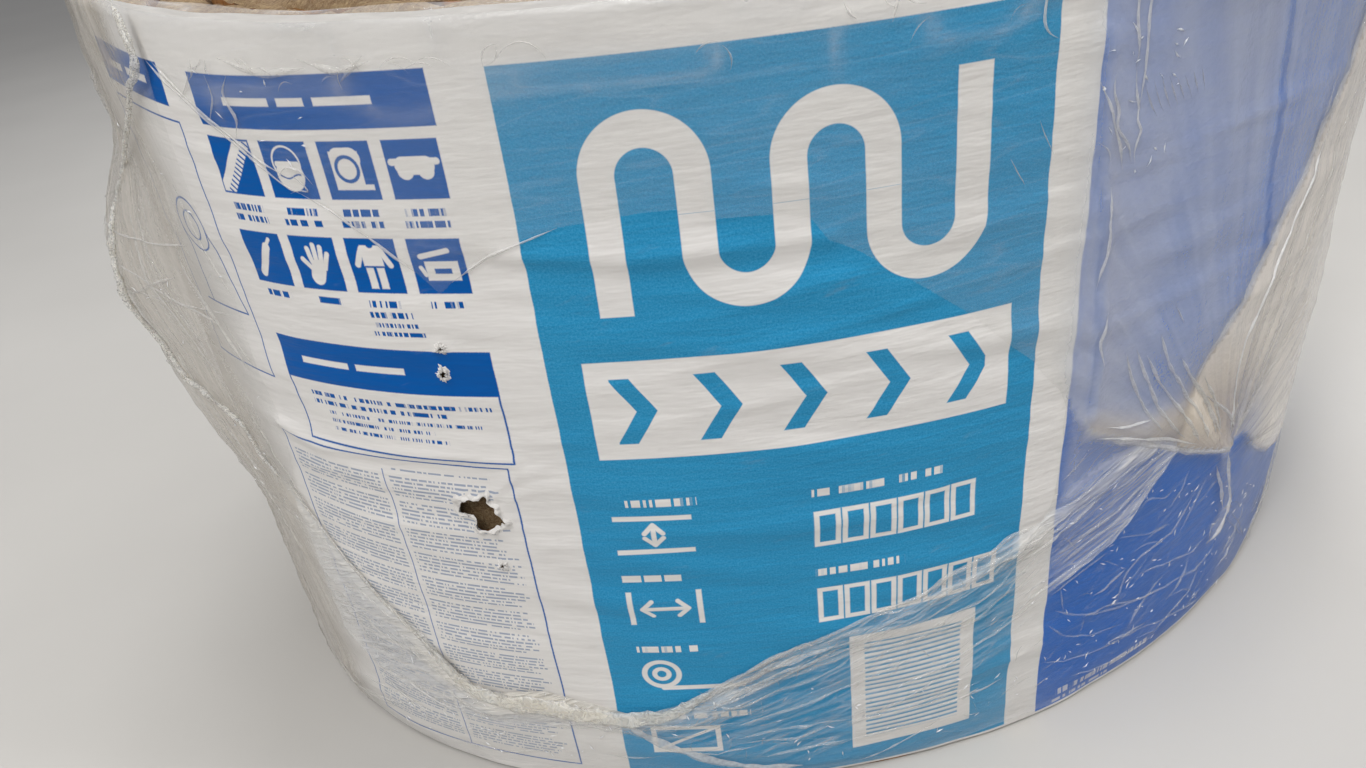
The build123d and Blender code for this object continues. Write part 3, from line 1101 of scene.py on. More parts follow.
LOW_RIGHT = [
    [(24, 74), (37, 65), (49, 59), (69, 53), (97, 48), (116, 46), (134, 43), (148, 44), (156, 51)],
    [(67, 56), (68, 67), (71, 76), (80, 82), (95, 84), (106, 88), (118, 102)],
    [(50, 95), (59, 88), (67, 81)], [(58, 104), (70, 100), (84, 94), (94, 95)],
    [(21, 124), (28, 117), (35, 106)], [(20, 67), (33, 52), (51, 44), (74, 39)],
    [(20, 85), (32, 90), (47, 95), (56, 97)], [(71, 115), (76, 121), (92, 113), (99, 120)],
    [(143, 52), (144, 66), (155, 69)], [(159, 65), (177, 47), (201, 23)],
    [(26, 91), (29, 75), (31, 69)], [(40, 60), (61, 59), (88, 49), (108, 48)],
    [(80, 70), (100, 66), (122, 60), (140, 62)], [(110, 80), (120, 96), (126, 108)],
    [(96, 104), (104, 112), (108, 124)], [(60, 30), (90, 26), (120, 18), (150, 10)],
    [(40, 20), (70, 14), (100, 12)], [(170, 60), (190, 40), (206, 18)],
    [(20, 152), (30, 160), (36, 168)], [(20, 40), (34, 34), (52, 30), (70, 28)],
]
BAND_CREASES = [
    [(-156, 70), (-146, 63), (-135, 60), (-119, 68), (-102, 72), (-86, 78), (-80, 84)],
    [(-139, 47), (-122, 53), (-103, 57), (-82, 64), (-50, 74)],
    [(-140, 35), (-120, 40), (-101, 41), (-83, 41)], [(-190, 52), (-172, 48), (-159, 52)],
    [(-130, 21), (-102, 25), (-83, 27)], [(-106, 79), (-95, 86), (-83, 89), (-60, 92)],
    [(-40, 96), (-19, 100), (-7, 108), (6, 120)], [(-30, 84), (-14, 92), (0, 106), (12, 118)],
    [(20, 140), (31, 143), (46, 150), (56, 156), (74, 153)],
    [(20, 132), (34, 136), (49, 143), (62, 149), (75, 150)], SECOND_BAND,
    [(-10, 76), (10, 90), (36, 101), (56, 110), (68, 122), (82, 138)],
    [(-60, 56), (-30, 66), (-6, 76), (14, 88)], [(-20, 110), (-4, 122), (14, 134)],
    [(-70, 80), (-40, 88), (-18, 92)],
]
UPPER_EDGE = [
    [(-346, 371), (-336, 362), (-321, 352), (-300, 335), (-288, 325), (-281, 322)],
    [(-342, 371), (-330, 360), (-312, 347), (-296, 334), (-286, 329)],
    [(-286, 322), (-281, 324), (-276, 322), (-279, 327), (-284, 330)],
    [(-290, 328), (-284, 333), (-277, 331), (-274, 326)], [(-281, 322), (-268, 315), (-256, 305)],
    [(-262, 310), (-252, 302), (-240, 291)], [(-331, 356), (-322, 362), (-318, 368)],
    [(-316, 349), (-309, 357), (-310, 366)], [(-305, 342), (-300, 350), (-304, 360), (-298, 366)],
    [(-226, 287), (-208, 298), (-181, 307)],
]
LOOSE_EDGE = [
    [
        (-185, 53), (-172, 57), (-159, 63), (-148, 70), (-136, 77), (-118, 88), (-89, 99),
        (-65, 108), (-48, 110.5), (-33, 120.5), (-16, 125), (-5, 131.5), (12, 133.5),
    ],
    [(-194, 48), (-181, 36), (-169, 28), (-150, 18.6), (-131, 12.6), (-108, 11)],
]
LONG_TOP = [
    [(-300, 372), (-280, 366), (-262, 368)], [(-264, 371), (-250, 366), (-236, 369)],
    [(-250, 362), (-238, 371)],
]


def crease(points, width, height, haze):
    """Keeps one crease: its line, its width and height in mm, and how milky it is."""
    creases.append((points, width, height, haze))


for lines, width, height, haze in (
    (SQUIGGLES, 0.55, 0.7, 0.55), (PLEATS, 0.9, 1.1, 0.54), (LOW_RIGHT, 0.5, 0.6, 0.24),
    (BAND_CREASES, 0.6, 0.7, 0.28), (UPPER_EDGE, 0.5, 0.7, 0.5), (LONG_TOP, 1.2, 0.8, 0.3),
    (LOOSE_EDGE[:1], 1.1, 0.6, 0.34), (LOOSE_EDGE[1:], 2.4, 1.0, 0.5),
):
    for line in lines:
        crease(line, width, height, haze)
# A row of short creases side by side, then the upright one over the gathered point, the edge of
# the fan, and the gathered edge
for i in range(8):
    shift = 4.1 * i
    crease([(39.7 + shift, 326 + 1.4 * math.sin(i)), (43 + shift, 319),
            (47.6 + shift * 0.86, 312.5 + 0.6 * i)], 0.6, 0.5, 0.42)
crease([(136, 134), (134.5, 146), (132, 168), (134, 189), (143, 210), (158, 235), (180, 268)],
       0.45, 0.8, 0.7)
crease(
    [
        (99, 172), (102, 181), (117, 202), (134, 223), (151, 246), (169, 262), (182, 279),
        (198, 299), (212, 316), (238, 350), (252, 368),
    ],
    1.2, 0.35, 0.34,
)
crease([(44, 168), (68, 156.5), (86, 146.5), (104, 135.5), (125, 126), (140, 120)], 1.3, 0.8, 0.46)
# Rays from the gathered point out over the fan
for i in range(9):
    angle = math.radians(42 + 5 * i + draw.uniform(-1, 1))
    bend = draw.uniform(-0.12, 0.12)
    line = []
    for far in np.linspace(14, draw.uniform(60, 200), 7):
        turned = angle + bend * far / 100
        line.append((GATHER[0] + far * math.cos(turned), GATHER[1] + far * math.sin(turned)))
    line = [(s, z) for s, z in line if z < 370]
    crease(line, draw.uniform(0.6, 1.1), draw.uniform(0.4, 0.8), 0.3)
print("creases along lines", len(creases))

# %% [markdown]
# The rest are scattered by a seeded draw: long ones along the band, down the left side and round
# the back, short ones under the rim and low down. A crease is cut off where it leaves its zone.

# %% Scattered creases
BACK_EDGE = 960


def along_band(start, length, level):
    """A line along the band at a level from 0, its lower edge, to 1, its upper edge."""
    s = np.linspace(start, start + length, 9)
    z = level_on(BAND_LOW, s) * (1 - level) + level_on(BAND_TOP, s) * level
    return list(zip(s, z + np.cumsum(draw.uniform(-0.9, 0.9, 9))))


def wandering(s, z, angle, length, bend):
    """A line from (s, z) that sets off at an angle in degrees and turns by bend on its way."""
    steps = 8
    turns = np.radians(angle + np.linspace(0, bend, steps) + draw.uniform(-9, 9, steps))
    along_s, along_z = (np.cumsum(f(turns)) * length / steps for f in (np.cos, np.sin))
    return list(zip(s + along_s, z + along_z))


def kept(line, test):
    """The places of a line that lie on the film's height and pass a test."""
    return [(s, z) for s, z in line if 6 < z < 372 and test(s, z)]


def is_covered(s, z):
    return not bool(inside(np.array([s]), np.array([z]), OPENING)[0])


def is_low(s, z):
    return z < level_on(BAND_LOW, s) and is_covered(s, z)


def drawn(*ranges):
    """One draw from each (low, high) range, in order. A plain number stands for itself."""
    return [draw.uniform(*r) if isinstance(r, tuple) else r for r in ranges]


def either(low, high):
    """A draw from that range, to either side."""
    return draw.choice([-1, 1]) * draw.uniform(low, high)


# Where they start in s and z, their angle, length and bend, and how milky they are
FAMILIES = [
    (14, ((-360, -250), (40, 150), -56, (30, 80), 58), 0.4),
    (12, ((-425, -365), (190, 345), -74, (30, 110), 6), 0.3),
    (12, ((-420, -40), (6, 40), (-8, 14), (30, 90), 14), 0.26),
]
covered = [
    (along_band(draw.uniform(-330, 60), draw.uniform(30, 90), draw.uniform(0, 1) ** 0.7), 0.18)
    for _ in range(34)
]
for count, ranges, haze in FAMILIES:
    covered += [(wandering(*drawn(*ranges)), haze) for _ in range(count)]
for _ in range(80):
    start = either(440, 940)
    covered.append((wandering(start, *drawn((10, 360), (-30, 30), (60, 240), (-20, 20))), 0.34))
for s0, s1, count in ((-325, -200, 22), (-200, 30, 16), (30, 330, 10)):
    for _ in range(count):
        setting = drawn((s0, s1), (361, 371), (-30, 210), (8, 24))
        covered.append((wandering(*setting, either(40, 150)), 0.34))
low = [
    (wandering(*drawn((30, 330), (6, 110), (-10, 60), (14, 46), (-90, 90))), 0.17)
    for _ in range(60)
]
for lines, test in ((covered, is_covered), (low, is_low)):
    for line, haze in lines:
        line = [(s, z) for s, z in kept(line, test) if abs(s) < BACK_EDGE]
        if len(line) > 3:
            width, height, whiter = drawn((0.3, 0.8), (0.4, 0.9), (-0.06, 0.14))
            crease(line, width, height, haze + whiter)
print("with the scattered ones", len(creases))

# %% [markdown]
# Glints are short sharp folds, a few millimetres long, made near opaque and brilliant white as a
# painted highlight. They lie thickest where the film is crumpled. The crumpled strand along the band
# gets its own creases last.

# %% Glints and crumples
GLINTS = [
    (130, (22, 210), (6, 130), is_low), (110, (-190, 80), (12, 150), is_covered),
    (90, (-340, -190), (10, 90), is_covered), (30, (-420, -350), (120, 340), is_covered),
    (22, (20, 60), (285, 350), is_covered), (16, (-340, -270), (315, 368), is_covered),
    (60, (440, 930), (10, 370), is_covered), (60, (-930, -440), (10, 370), is_covered),
]
# Their haze above 1 makes them near opaque and brilliant white: a painted highlight.
for count, s_range, z_range, test in GLINTS:
    for _ in range(count):
        line = kept(wandering(*drawn(s_range, z_range, (0, 180), (1.6, 5.5), (-60, 60))), test)
        if len(line) > 5:
            crease(line, *drawn((0.3, 0.7), (0.3, 0.8), 1.15))
for _ in range(34):
    line = kept(along_band(*drawn((-175, -10), (16, 60), (0.78, 1.0))), is_covered)
    if len(line) > 3:
        crease(line, *drawn((0.35, 0.9), (0.5, 1.1), (0.16, 0.36)))
for _ in range(110):
    line = wandering(*drawn((-170, 20), (16, 130), (-20, 100), (5, 17), (-80, 80)))
    line = kept(line, is_covered)
    if len(line) > 4:
        crease(line, *drawn((0.3, 0.6), (0.4, 0.9), (0.14, 0.4)))
print("creases", len(creases))

# %% [markdown]
# All creases lie end to end in one table, a row for each place along them, and one grid is laid out
# by counting along it. The faces between one crease's end and the next one's start are deleted.

# %% Creases as one grid cut into runs
PROFILE = np.array([0, 0.5, 1, 0.5, 0])
SHORT = 8
runs = []
for points, width, height, haze in creases:
    s, z = np.array(points, float).T
    short = np.hypot(np.diff(s), np.diff(z)).sum() < SHORT
    flat_line = np.stack([s, 0 * s, z], axis=-1)
    run, even = smooth_run(flat_line, *((0.8, 1.0) if short else (1.8, 4.0)))
    s, z = run[:, 0], run[:, 2]
    ds, dz = np.gradient(s), np.gradient(z)
    size = np.hypot(ds, dz)
    taper = np.clip(np.minimum(np.arange(len(s)), np.arange(len(s))[::-1]) / 5, 0.1, 1)
    uneven = 1 + 0.4 * sway(even / 6, len(runs))
    sizes = [width * taper * uneven, height * taper * uneven]
    runs.append(np.stack([s, z, -dz / size, ds / size, *sizes, haze + 0 * s], axis=-1))
crease_data = np.concatenate(runs)
ends = set(np.cumsum([len(run) for run in runs])[:-1] - 1)


def place_creases(column, row):
    column, row = counted(column, row)
    s, z, side_s, side_z, width, height, _ = crease_data[column].T
    across = (row - 2) / 2 * width
    s, z = s + side_s * across, z + side_z * across
    return wound(s, z, film_relief(s, z) + height * PROFILE[row] + 0.12)


def crease_layers(column, row):
    return {"haze": crease_data[counted(column, row)[0], 6]}


bm = flat_grid(np.arange(len(crease_data)), np.arange(len(PROFILE)))
joins = [f for f in bm.faces if math.floor(f.calc_center_median().x) in ends]
bmesh.ops.delete(bm, geom=joins, context="FACES")
folds = wound_piece("film_creases", bm, place_creases, merge=False, layers=crease_layers)

# %% [markdown]
# ## Print on the sleeve
# The print is worked out from the UV map in millimetres. Each shape is a distance that is negative
# inside it, the union of shapes is the lower distance, and one node turns a distance into a share
# of ink with a soft edge. The layout and the colours are the real sleeve's: a light blue panel, a
# white stripe, a dark blue panel, and rows of small marks. Plain figures stand where it names
# anything.

# %% Shapes for the print
MILLIMETRES = (1000, 1000, 1000)


class Print(Shader):
    """A shader with the place on the sleeve in millimetres."""

    def __init__(self, name):
        super().__init__(name)
        laid = self.node("UVMap", {"uv_map": "lay"})
        self.flat = self.vector("MULTIPLY", laid, MILLIMETRES)
        self.s = self.axis(self.flat, 0)
        self.z = self.axis(self.flat, 1)

    def box(self, s0, s1, z0, z1, s=None):
        across = abs((s or self.s) - (s0 + s1) / 2) - (s1 - s0) / 2
        return across.high(abs(self.z - (z0 + z1) / 2) - (z1 - z0) / 2)

    def disc(self, s, z, radius):
        return self.vector("DISTANCE", self.flat, (s, z, 0), output=1) - radius

    def bar(self, start, end, radius):
        """A round-ended bar from start to end."""
        run = Vector((end[0] - start[0], end[1] - start[1], 0))
        placed = self.vector("SUBTRACT", self.flat, (*start, 0))
        share = self.vector(
            "DOT_PRODUCT", placed, tuple(run / run.length_squared), output=1
        ).clamped()
        nearest = self.vector("MULTIPLY", tuple(run), share)
        return self.vector("DISTANCE", placed, nearest, output=1) - radius

    def filled(self, distance, soft=0.5):
        """Share of ink, 1 inside a shape and 0 outside, with an edge that is that soft in mm."""
        return distance.math("MULTIPLY_ADD", -1 / soft, 0.5, clamp=True)

    def union(self, *shapes):
        """Distance to all shapes: distances, or tuples of a shape's name and its numbers.

        Each tuple is drawn just before it is joined, so the renderer keeps few numbers at a time.
        """
        result = None
        for shape in shapes:
            distance = getattr(self, shape[0])(*shape[1:]) if isinstance(shape, tuple) else shape
            result = distance if result is None else result.low(distance)
        return result

    def ring(self, s, z, radius, half):
        return abs(self.disc(s, z, radius)) - half

    def frame(self, s0, s1, z0, z1, half, s=None):
        return abs(self.box(s0, s1, z0, z1, s)) - half

    def repeated(self, middle, pitch):
        """The length s from the nearest of evenly spaced middles, one of them as given."""
        return (self.s - middle).math("WRAP", pitch / 2, -pitch / 2)

    def chance(self, number):
        """An even draw from 0 to 1 for each whole number."""
        return self.node("TexWhiteNoise", {"noise_dimensions": "1D"}, {"W": number})

    def marks(self, s0, s1, z0, z1, pitch=1.3, share=0.66, s=None):
        """A row of small upright marks of uneven widths, as wide as a line of small type."""
        cell = (self.s / pitch).math("FLOOR") + z0 * 7.3
        gap = (1 - share - self.chance(cell)) * 3
        return self.box(s0, s1, z0, z1, s).high(gap)


# %% [markdown]
# The big light blue panel carries the drafting symbol for insulation, a winding band, where the
# real one has large figures. A white plate of chevrons is below it, then two columns of small
# dimension figures and rows of empty cells, and a box of even stripes.

# %% The light blue panel
LIGHT_PANEL = (-196, 1, 3, 364.5)
PLATE = (-181.5, -11.5, 205, 251)
STRIPED_BOX, STRIPES = (-82, -20, 17, 94), (-75, -27, 23, 88)
WAVE_PITCH, WAVE_REACH, WAVE_LEVEL, WAVE_HALF = 67.0, 14.75, 308.0, 6.5
WAVE_LEFT, WAVE_RIGHT, WAVE_TOP = -171, -24, 348
UPPER_ARC, LOWER_ARC = -147.75, -114.25
CHEVRON_PITCH, CHEVRON_MIDDLE, CHEVRON_LEVEL = 33.5, -163.25, 228
CELL_PITCH = 12.2


def winding_band(p):
    """Upright bars joined by half circles, alternately at the top and the bottom."""
    radius = WAVE_PITCH / 4
    upper, lower = p.repeated(UPPER_ARC, WAVE_PITCH), p.repeated(LOWER_ARC, WAVE_PITCH)
    over = (p.z - (WAVE_LEVEL + WAVE_REACH)).high(0.0)
    under = ((WAVE_LEVEL - WAVE_REACH) - p.z).high(0.0)
    upper = abs((upper * upper + over * over) ** 0.5 - radius) - WAVE_HALF
    lower = abs((lower * lower + under * under) ** 0.5 - radius) - WAVE_HALF
    upper = upper.high(p.box(WAVE_LEFT, -47.25, WAVE_LEVEL, WAVE_TOP))
    lower = lower.high(p.box(UPPER_ARC, WAVE_RIGHT, 268, WAVE_LEVEL))
    first = p.box(WAVE_LEFT, WAVE_LEFT + 2 * WAVE_HALF, 270, 323)
    last = p.box(WAVE_RIGHT - 2 * WAVE_HALF, WAVE_RIGHT, 293, 346)
    return p.union(upper, lower, first, last)


def chevrons(p):
    """A row of chevrons: a leaning line on either side of their level, cut off by a box."""
    within = p.repeated(CHEVRON_MIDDLE, CHEVRON_PITCH)
    slant = abs(p.z - CHEVRON_LEVEL) * 0.62 + within - 4.5
    return (abs(slant) - 4.2).high(p.box(-172, -22, 212.5, 243.5))


def dimension_figures(p):
    """Small drawings for the data: an arrow between lines twice, a coil with a tail, a square."""
    thick = p.union(
        ("box", -181, -147, 173, 175.5), ("box", -181, -147, 155, 157.5),
        ("bar", (-164, 160), (-164, 170.5), 1.1), ("bar", (-168, 166.5), (-164, 170.8), 1.1),
        ("bar", (-160, 166.5), (-164, 170.8), 1.1), ("bar", (-168, 164), (-164, 159.7), 1.1),
        ("bar", (-160, 164), (-164, 159.7), 1.1),
    )
    wide = p.union(
        ("box", -181, -178.5, 113, 133), ("box", -149.5, -147, 113, 133),
        ("bar", (-174, 123), (-154, 123), 1.1), ("bar", (-174.5, 123), (-170, 127.5), 1.1),
        ("bar", (-174.5, 123), (-170, 118.5), 1.1), ("bar", (-153.5, 123), (-158, 127.5), 1.1),
        ("bar", (-153.5, 123), (-158, 118.5), 1.1),
    )
    coil = p.ring(-171, 80.5, 8.2, 1.3)
    long = p.union(coil, ("ring", -171, 80.5, 3.4, 1.2), ("bar", (-171, 71.2), (-133, 71.2), 1.3))
    square = p.frame(-180, -148, 27, 43, 1.3)
    return p.union(thick, wide, long, square, ("bar", (-180, 27), (-148, 43), 0.9))


def empty_cells(p, s0, z0, count):
    """A row of empty cells in place of a code, from s0 on."""
    within = p.repeated(s0 + CELL_PITCH / 2, CELL_PITCH)
    cell = p.frame(-4.6, 4.6, z0 + 1.2, z0 + 18.8, 1.15, s=within)
    return cell.high(p.box(s0, s0 + count * CELL_PITCH, z0 - 1, z0 + 21))


def light_panel(p):
    """Share of white ink-free film on the light blue panel."""
    labels = p.union(
        ("marks", -181.5, -144, 180.5, 184.5), ("marks", -181.5, -155, 138.5, 142.5),
        ("marks", -181.5, -151, 95.5, 99.5), ("marks", -181.5, -131, 50.5, 54.5),
        ("marks", -96, -39, 177.5, 181.5), ("marks", -96, -56, 133.5, 137.5),
    )
    box = p.box(*STRIPED_BOX)
    stripe = (p.z / 3.1).math("FRACT") - 0.42
    stripes = p.filled(p.box(*STRIPES)) * p.filled(stripe, 0.3) * 0.85
    shown = p.union(
        winding_band(p), ("box", *PLATE), dimension_figures(p), labels,
        empty_cells(p, -96, 150, 6), empty_cells(p, -96, 106, 7), box,
    )
    white = p.filled(shown)
    blue_again = p.filled(chevrons(p)).high(stripes)
    return white * (1 - blue_again)


# %% [markdown]
# The left part lists what is needed to fit the batts. It has two banners, two rows of four dark
# squares with small tools, a ruled box, and columns of fine lines. The tools are plain figures of a
# ruler, a mask, a tape, goggles, a knife, a glove, overalls and a stapler.

# %% Tools in the dark squares
SQUARE_PITCH, SQUARE_MIDDLE = 27.2, -311.4
TICK_PITCH = 2.2


def less(shape, cut):
    """A shape less another that is cut out of it."""
    return shape.high(cut * -1)


def tool_figures(p):
    """Distance to the pale tools. What is cut out of a tool shows the dark square again."""
    ruler = p.bar((-318.5, 322.5), (-304, 341), 3.6).high(p.box(-321.6, -301.2, 320.5, 341))
    ticks = ((p.s * 0.615 + p.z * 0.788) / TICK_PITCH).math("FRACT") - 0.36
    edge = p.s * 0.788 - p.z * 0.615 + 449.1
    ruler = less(ruler, less(ticks * TICK_PITCH, edge))
    mask = p.union(
        p.disc(-284, 329, 6.4).high(p.z - 333), ("ring", -284.6, 333.5, 6.4, 0.4),
        ("bar", (-289, 333), (-279.4, 333), 1.2),
    )
    pleat = abs(p.z - 328.4 - (0.6 * p.s).math("SINE") * 0.8) - 0.3
    mask = less(mask, pleat.high(p.box(-289, -279, 325, 332)))
    tape = p.union(
        ("box", -264, -251.5, 323.5, 338), ("bar", (-260, 335.4), (-255, 335.4), 4.0),
        ("box", -264, -248, 323.5, 325.6),
    )
    tape = less(tape, p.ring(-257.6, 331.4, 4.6, 0.7))
    goggles = p.union(
        ("bar", (-234.3, 332.2), (-225.3, 332.2), 3.4), ("disc", -233.9, 330.2, 3.2),
        ("disc", -225.7, 330.2, 3.2), ("bar", (-238.7, 333.6), (-220.9, 333.6), 1.3),
    )
    goggles = less(goggles, p.disc(-229.8, 326.4, 2.3))
    knife = p.union(
        ("bar", (-316.5, 286.6), (-309.5, 298.5), 1.9), ("bar", (-309, 299.5), (-306.8, 302), 0.8)
    )
    glove = p.union(
        ("bar", (-285.7, 287.6), (-283.7, 292.1), 3.4),
        ("bar", (-285.8, 292.6), (-287.2, 299.6), 1.15),
        ("bar", (-283.8, 292.6), (-283.9, 301.2), 1.15),
        ("bar", (-281.8, 292.6), (-280.6, 300.4), 1.15),
        ("bar", (-280.8, 291.6), (-277.8, 297.8), 1.1),
        ("bar", (-286.7, 290.6), (-290.6, 295), 1.2),
    )
    overalls = p.union(
        ("box", -261.6, -252.8, 293.6, 302), ("box", -261.2, -257.9, 284, 292.8),
        ("box", -256.5, -253.2, 284, 292.8), ("bar", (-261.2, 300.6), (-264.4, 294), 1.25),
        ("bar", (-253.2, 300.6), (-250, 294), 1.25),
    )
    overalls = less(overalls, p.disc(-257.2, 302.6, 1.7))
    stapler = p.union(
        ("bar", (-236.5, 297.6), (-225, 300), 1.1), ("box", -235.5, -221.8, 287.6, 295.6),
        ("bar", (-237.4, 293), (-236, 290), 0.9),
    )
    stapler = less(stapler, p.box(-232, -225, 290.4, 292.6))
    return p.union(ruler, mask, tape, goggles, knife, glove, overalls, stapler)


def dark_squares(p):
    """Two rows of four squares. They repeat along s, so a box keeps four of each row."""
    within = p.repeated(SQUARE_MIDDLE, SQUARE_PITCH)
    upper = p.box(-11, 11, 319.8, 341.8, s=within)
    lower = p.box(-11, 11, 282.2, 304.8, s=within)
    return upper.low(lower).high(p.box(-322.2, -217.5, 270, 350))


# %% [markdown]
# Dark banners head the lists, and thin frames rule the boxes. Small type is drawn as rows of uneven
# marks, and the finest type as broken lines in two columns.

# %% Banners, ruled boxes and fine lines
LINE_PITCH, LETTER_PITCH, PARAGRAPH_LINES = 2.1, 0.8, 7


def captions(p):
    """Small dark marks under the squares and in the ruled box."""
    within = p.repeated(SQUARE_MIDDLE, SQUARE_PITCH)
    under = p.union(
        p.marks(-8, 8, 313.4, 316.2, 0.85, s=within), p.marks(-9, 9, 309, 311.6, 0.85, s=within),
        p.marks(-7, 7, 276.2, 279, 0.85, s=within),
    ).high(p.box(-324, -217.5, 270, 318))
    return p.union(
        under, ("marks", -265, -246, 271.5, 274.2, 0.85), ("marks", -264, -245, 267.2, 269.2, 0.7),
        ("marks", -266, -243, 263.2, 265.2, 0.7), ("marks", -313, -222, 229, 231.2, 0.85),
        ("marks", -313, -244, 224.6, 226.8, 0.85), ("marks", -306, -229, 220, 221.7, 0.6, 0.5),
        ("marks", -306, -252, 215.8, 217.5, 0.6, 0.5),
        ("marks", -306, -246, 211.6, 213.3, 0.6, 0.5),
    )


def banner_marks(p):
    """Pale headings on the banners, as short rules: three on one and two on each other one."""
    return p.union(
        ("box", -306, -284, 354.5, 357.5), ("box", -280, -268, 354.5, 357.5),
        ("box", -264, -240, 354.5, 357.5), ("box", -312, -286, 245, 248),
        ("box", -282, -258, 245, 248), ("box", -385, -372, 356.5, 359.5),
        ("box", -368, -352, 356.5, 359.5),
    )


def left_blue(p):
    """Distance to everything that is printed dark blue on the left, but for the fine lines."""
    banners = p.union(
        ("box", -322, -217.5, 346, 365.5), ("box", -324, -217.5, 236.5, 256.5),
        ("box", -394, -340, 350, 366.5), dark_squares(p),
    )
    pale = p.union(tool_figures(p), banner_marks(p))
    frames = p.union(
        ("frame", -324, -218, 204, 256.5, 0.45), ("frame", -349, -222, 12, 201, 0.4),
        ("frame", -392, -338, 232, 344, 0.4), ("bar", (-286, 12), (-286, 194), 0.25),
        ("ring", -362, 300, 11, 0.4), ("ring", -362, 300, 6, 0.4),
        ("bar", (-351, 300), (-342, 262), 0.4), ("bar", (-373, 300), (-373, 262), 0.4),
        ("bar", (-380, 262), (-342, 262), 0.4),
    )
    return p.union(less(banners, pale), frames, captions(p))


def fine_lines(p):
    """Fine type as broken lines in two columns, too small to read."""
    line = (p.z + p.s * 0.004) / LINE_PITCH
    row, height = line.math("FLOOR"), line.math("FRACT")
    letter = (p.s / LETTER_PITCH).math("FLOOR")
    place = p.node("CombineXYZ", None, {0: letter, 1: row})
    drawn_letter = p.node("TexWhiteNoise", {"noise_dimensions": "2D"}, {"Vector": place})
    printed = drawn_letter.math("GREATER_THAN", 0.26)
    short = p.chance(row) * 11
    left_column = p.box(-345, -289, 16, 192)
    right_column = p.box(-283, -227, 16, 196).high(p.s + short + 226)
    columns = p.filled(left_column.low(right_column))
    paragraph = (line / PARAGRAPH_LINES).math("FRACT").math("GREATER_THAN", 0.15)
    return columns * printed * paragraph * height.math("LESS_THAN", 0.5)


# %% [markdown]
# The film itself is white polythene. The ink has a fine grain, with lighter specks in it that are a
# painted sparkle, and the film is a little grey in scuffed patches and darker towards the bottom.

# %% Printed film
WHITE_FILM = ink(229, 226, 222)
LIGHT_BLUE = ink(44, 142, 186)
DARK_BLUE = ink(0, 84, 160)
ROYAL_BLUE = ink(6, 94, 182)
FINE_BLUE = ink(84, 114, 154)
DARK_PANEL = (20, 470, 3, 364.5)


def printed_film(name, part=None):
    """White film with the print of that part of the sleeve."""
    p = Print(name)
    grain = p.noise(p.flat, 1.1, 2.0, 0.8)
    cloud = p.noise(p.flat, 0.012, 4.0, 0.6)
    # The lighter specks that this draws in the ink are a painted sparkle.
    painted_sparkle = p.between(grain, 0.44, 0.7)
    wobble = (grain - 0.5) * 0.35
    colour = p.mix(cloud, WHITE_FILM, ink(214, 211, 208))
    if part == "left":
        colour = p.mix(fine_lines(p) * 0.62, colour, FINE_BLUE)
        colour = p.mix(p.filled(left_blue(p) + wobble), colour, DARK_BLUE)
    if part == "light":
        blue = p.mix(painted_sparkle * 0.5, LIGHT_BLUE, ink(82, 168, 208))
        blue = p.mix(p.between(grain, 0.46, 0.3) * 0.4, blue, ink(16, 100, 152))
        blue = p.mix(cloud * 0.3, blue, ink(22, 110, 165))
        inked = p.filled(p.box(*LIGHT_PANEL) + wobble)
        colour = p.mix(inked * (1 - light_panel(p)), colour, blue)
    if part == "dark":
        royal = p.mix(painted_sparkle * 0.24, ROYAL_BLUE, ink(50, 122, 204))
        marks = p.union(("marks", 33, 100, 8.5, 12.5, 1.1), ("marks", 30, 70, 4.2, 6.2, 0.9))
        inked = p.filled(p.box(*DARK_PANEL) + wobble) * (1 - p.filled(marks) * 0.7)
        colour = p.mix(inked, colour, royal)
    scuffs = p.long_noise(p.flat, 33.0, 9.0, 12, 4.0, 0.7)
    # Grey in scuffed patches, and darker towards the bottom.
    greying = p.between(scuffs, 0.6, 0.86) * 0.3 + p.between(p.z, 40.0, 0.0) * 0.12
    colour = p.mix(greying, colour, ink(150, 142, 130))
    rough = p.between(cloud, 0.3, 0.7, 0.3, 0.42) + greying * 0.3
    crinkle = p.long_noise(p.flat, 22.0, 4.0, 2, 2.0, 0.6)
    normal = p.bump(crinkle, 0.0007, strength=0.8)
    print(name, "has", len(p.tree.nodes), "nodes")
    others = {"Normal": normal, "IOR": 1.49, "Specular IOR Level": 0.1}
    return p.surface(p.skin(colour, rough, others))


sleeve_finish = printed_film("white film, plain back")
PRINTED_PARTS = {"left": (-400.0, -206.0), "light": (-206.0, 10.0), "dark": (10.0, 490.0)}
part_finishes = [printed_film(f"white film, {part} print", part) for part in PRINTED_PARTS]

# %% [markdown]
# ## Clear film
# Thin film is nearly invisible where it is flat, and it turns milky where it is creased or lies in
# many layers. So the finish mixes a clear surface with a glossy white one. The share follows the
# zones kept on the mesh, and fine streaks follow the pull: they run together towards the gathered
# point on the right, along the band at the bottom, and down the fold on the left.

# %% Clear stretch film
FILM_ZONES = ["fan", "upper", "band", "left", "lower_right"]
CLEAR = (0.985, 0.985, 0.98, 1)
FILM_GLOSS = {"IOR": 1.5, "Specular IOR Level": 0.9}
# Where the gathered film is densest; round it the film is tinted a darker beige
DENSE_SPOT = (118, 142, 0)


def film_skin(p, share, colour, roughness, normal, others=None):
    """Clear film that is glossy and milky, in that colour, by its share."""
    glossy = p.skin(colour, roughness, {"Normal": normal} | FILM_GLOSS | (others or {}))
    clear = p.node("BsdfTransparent", None, {"Color": CLEAR})
    print(p.material.name, "has", len(p.tree.nodes), "nodes")
    return p.surface(p.node("MixShader", None, {0: share, 1: clear, 2: glossy}))


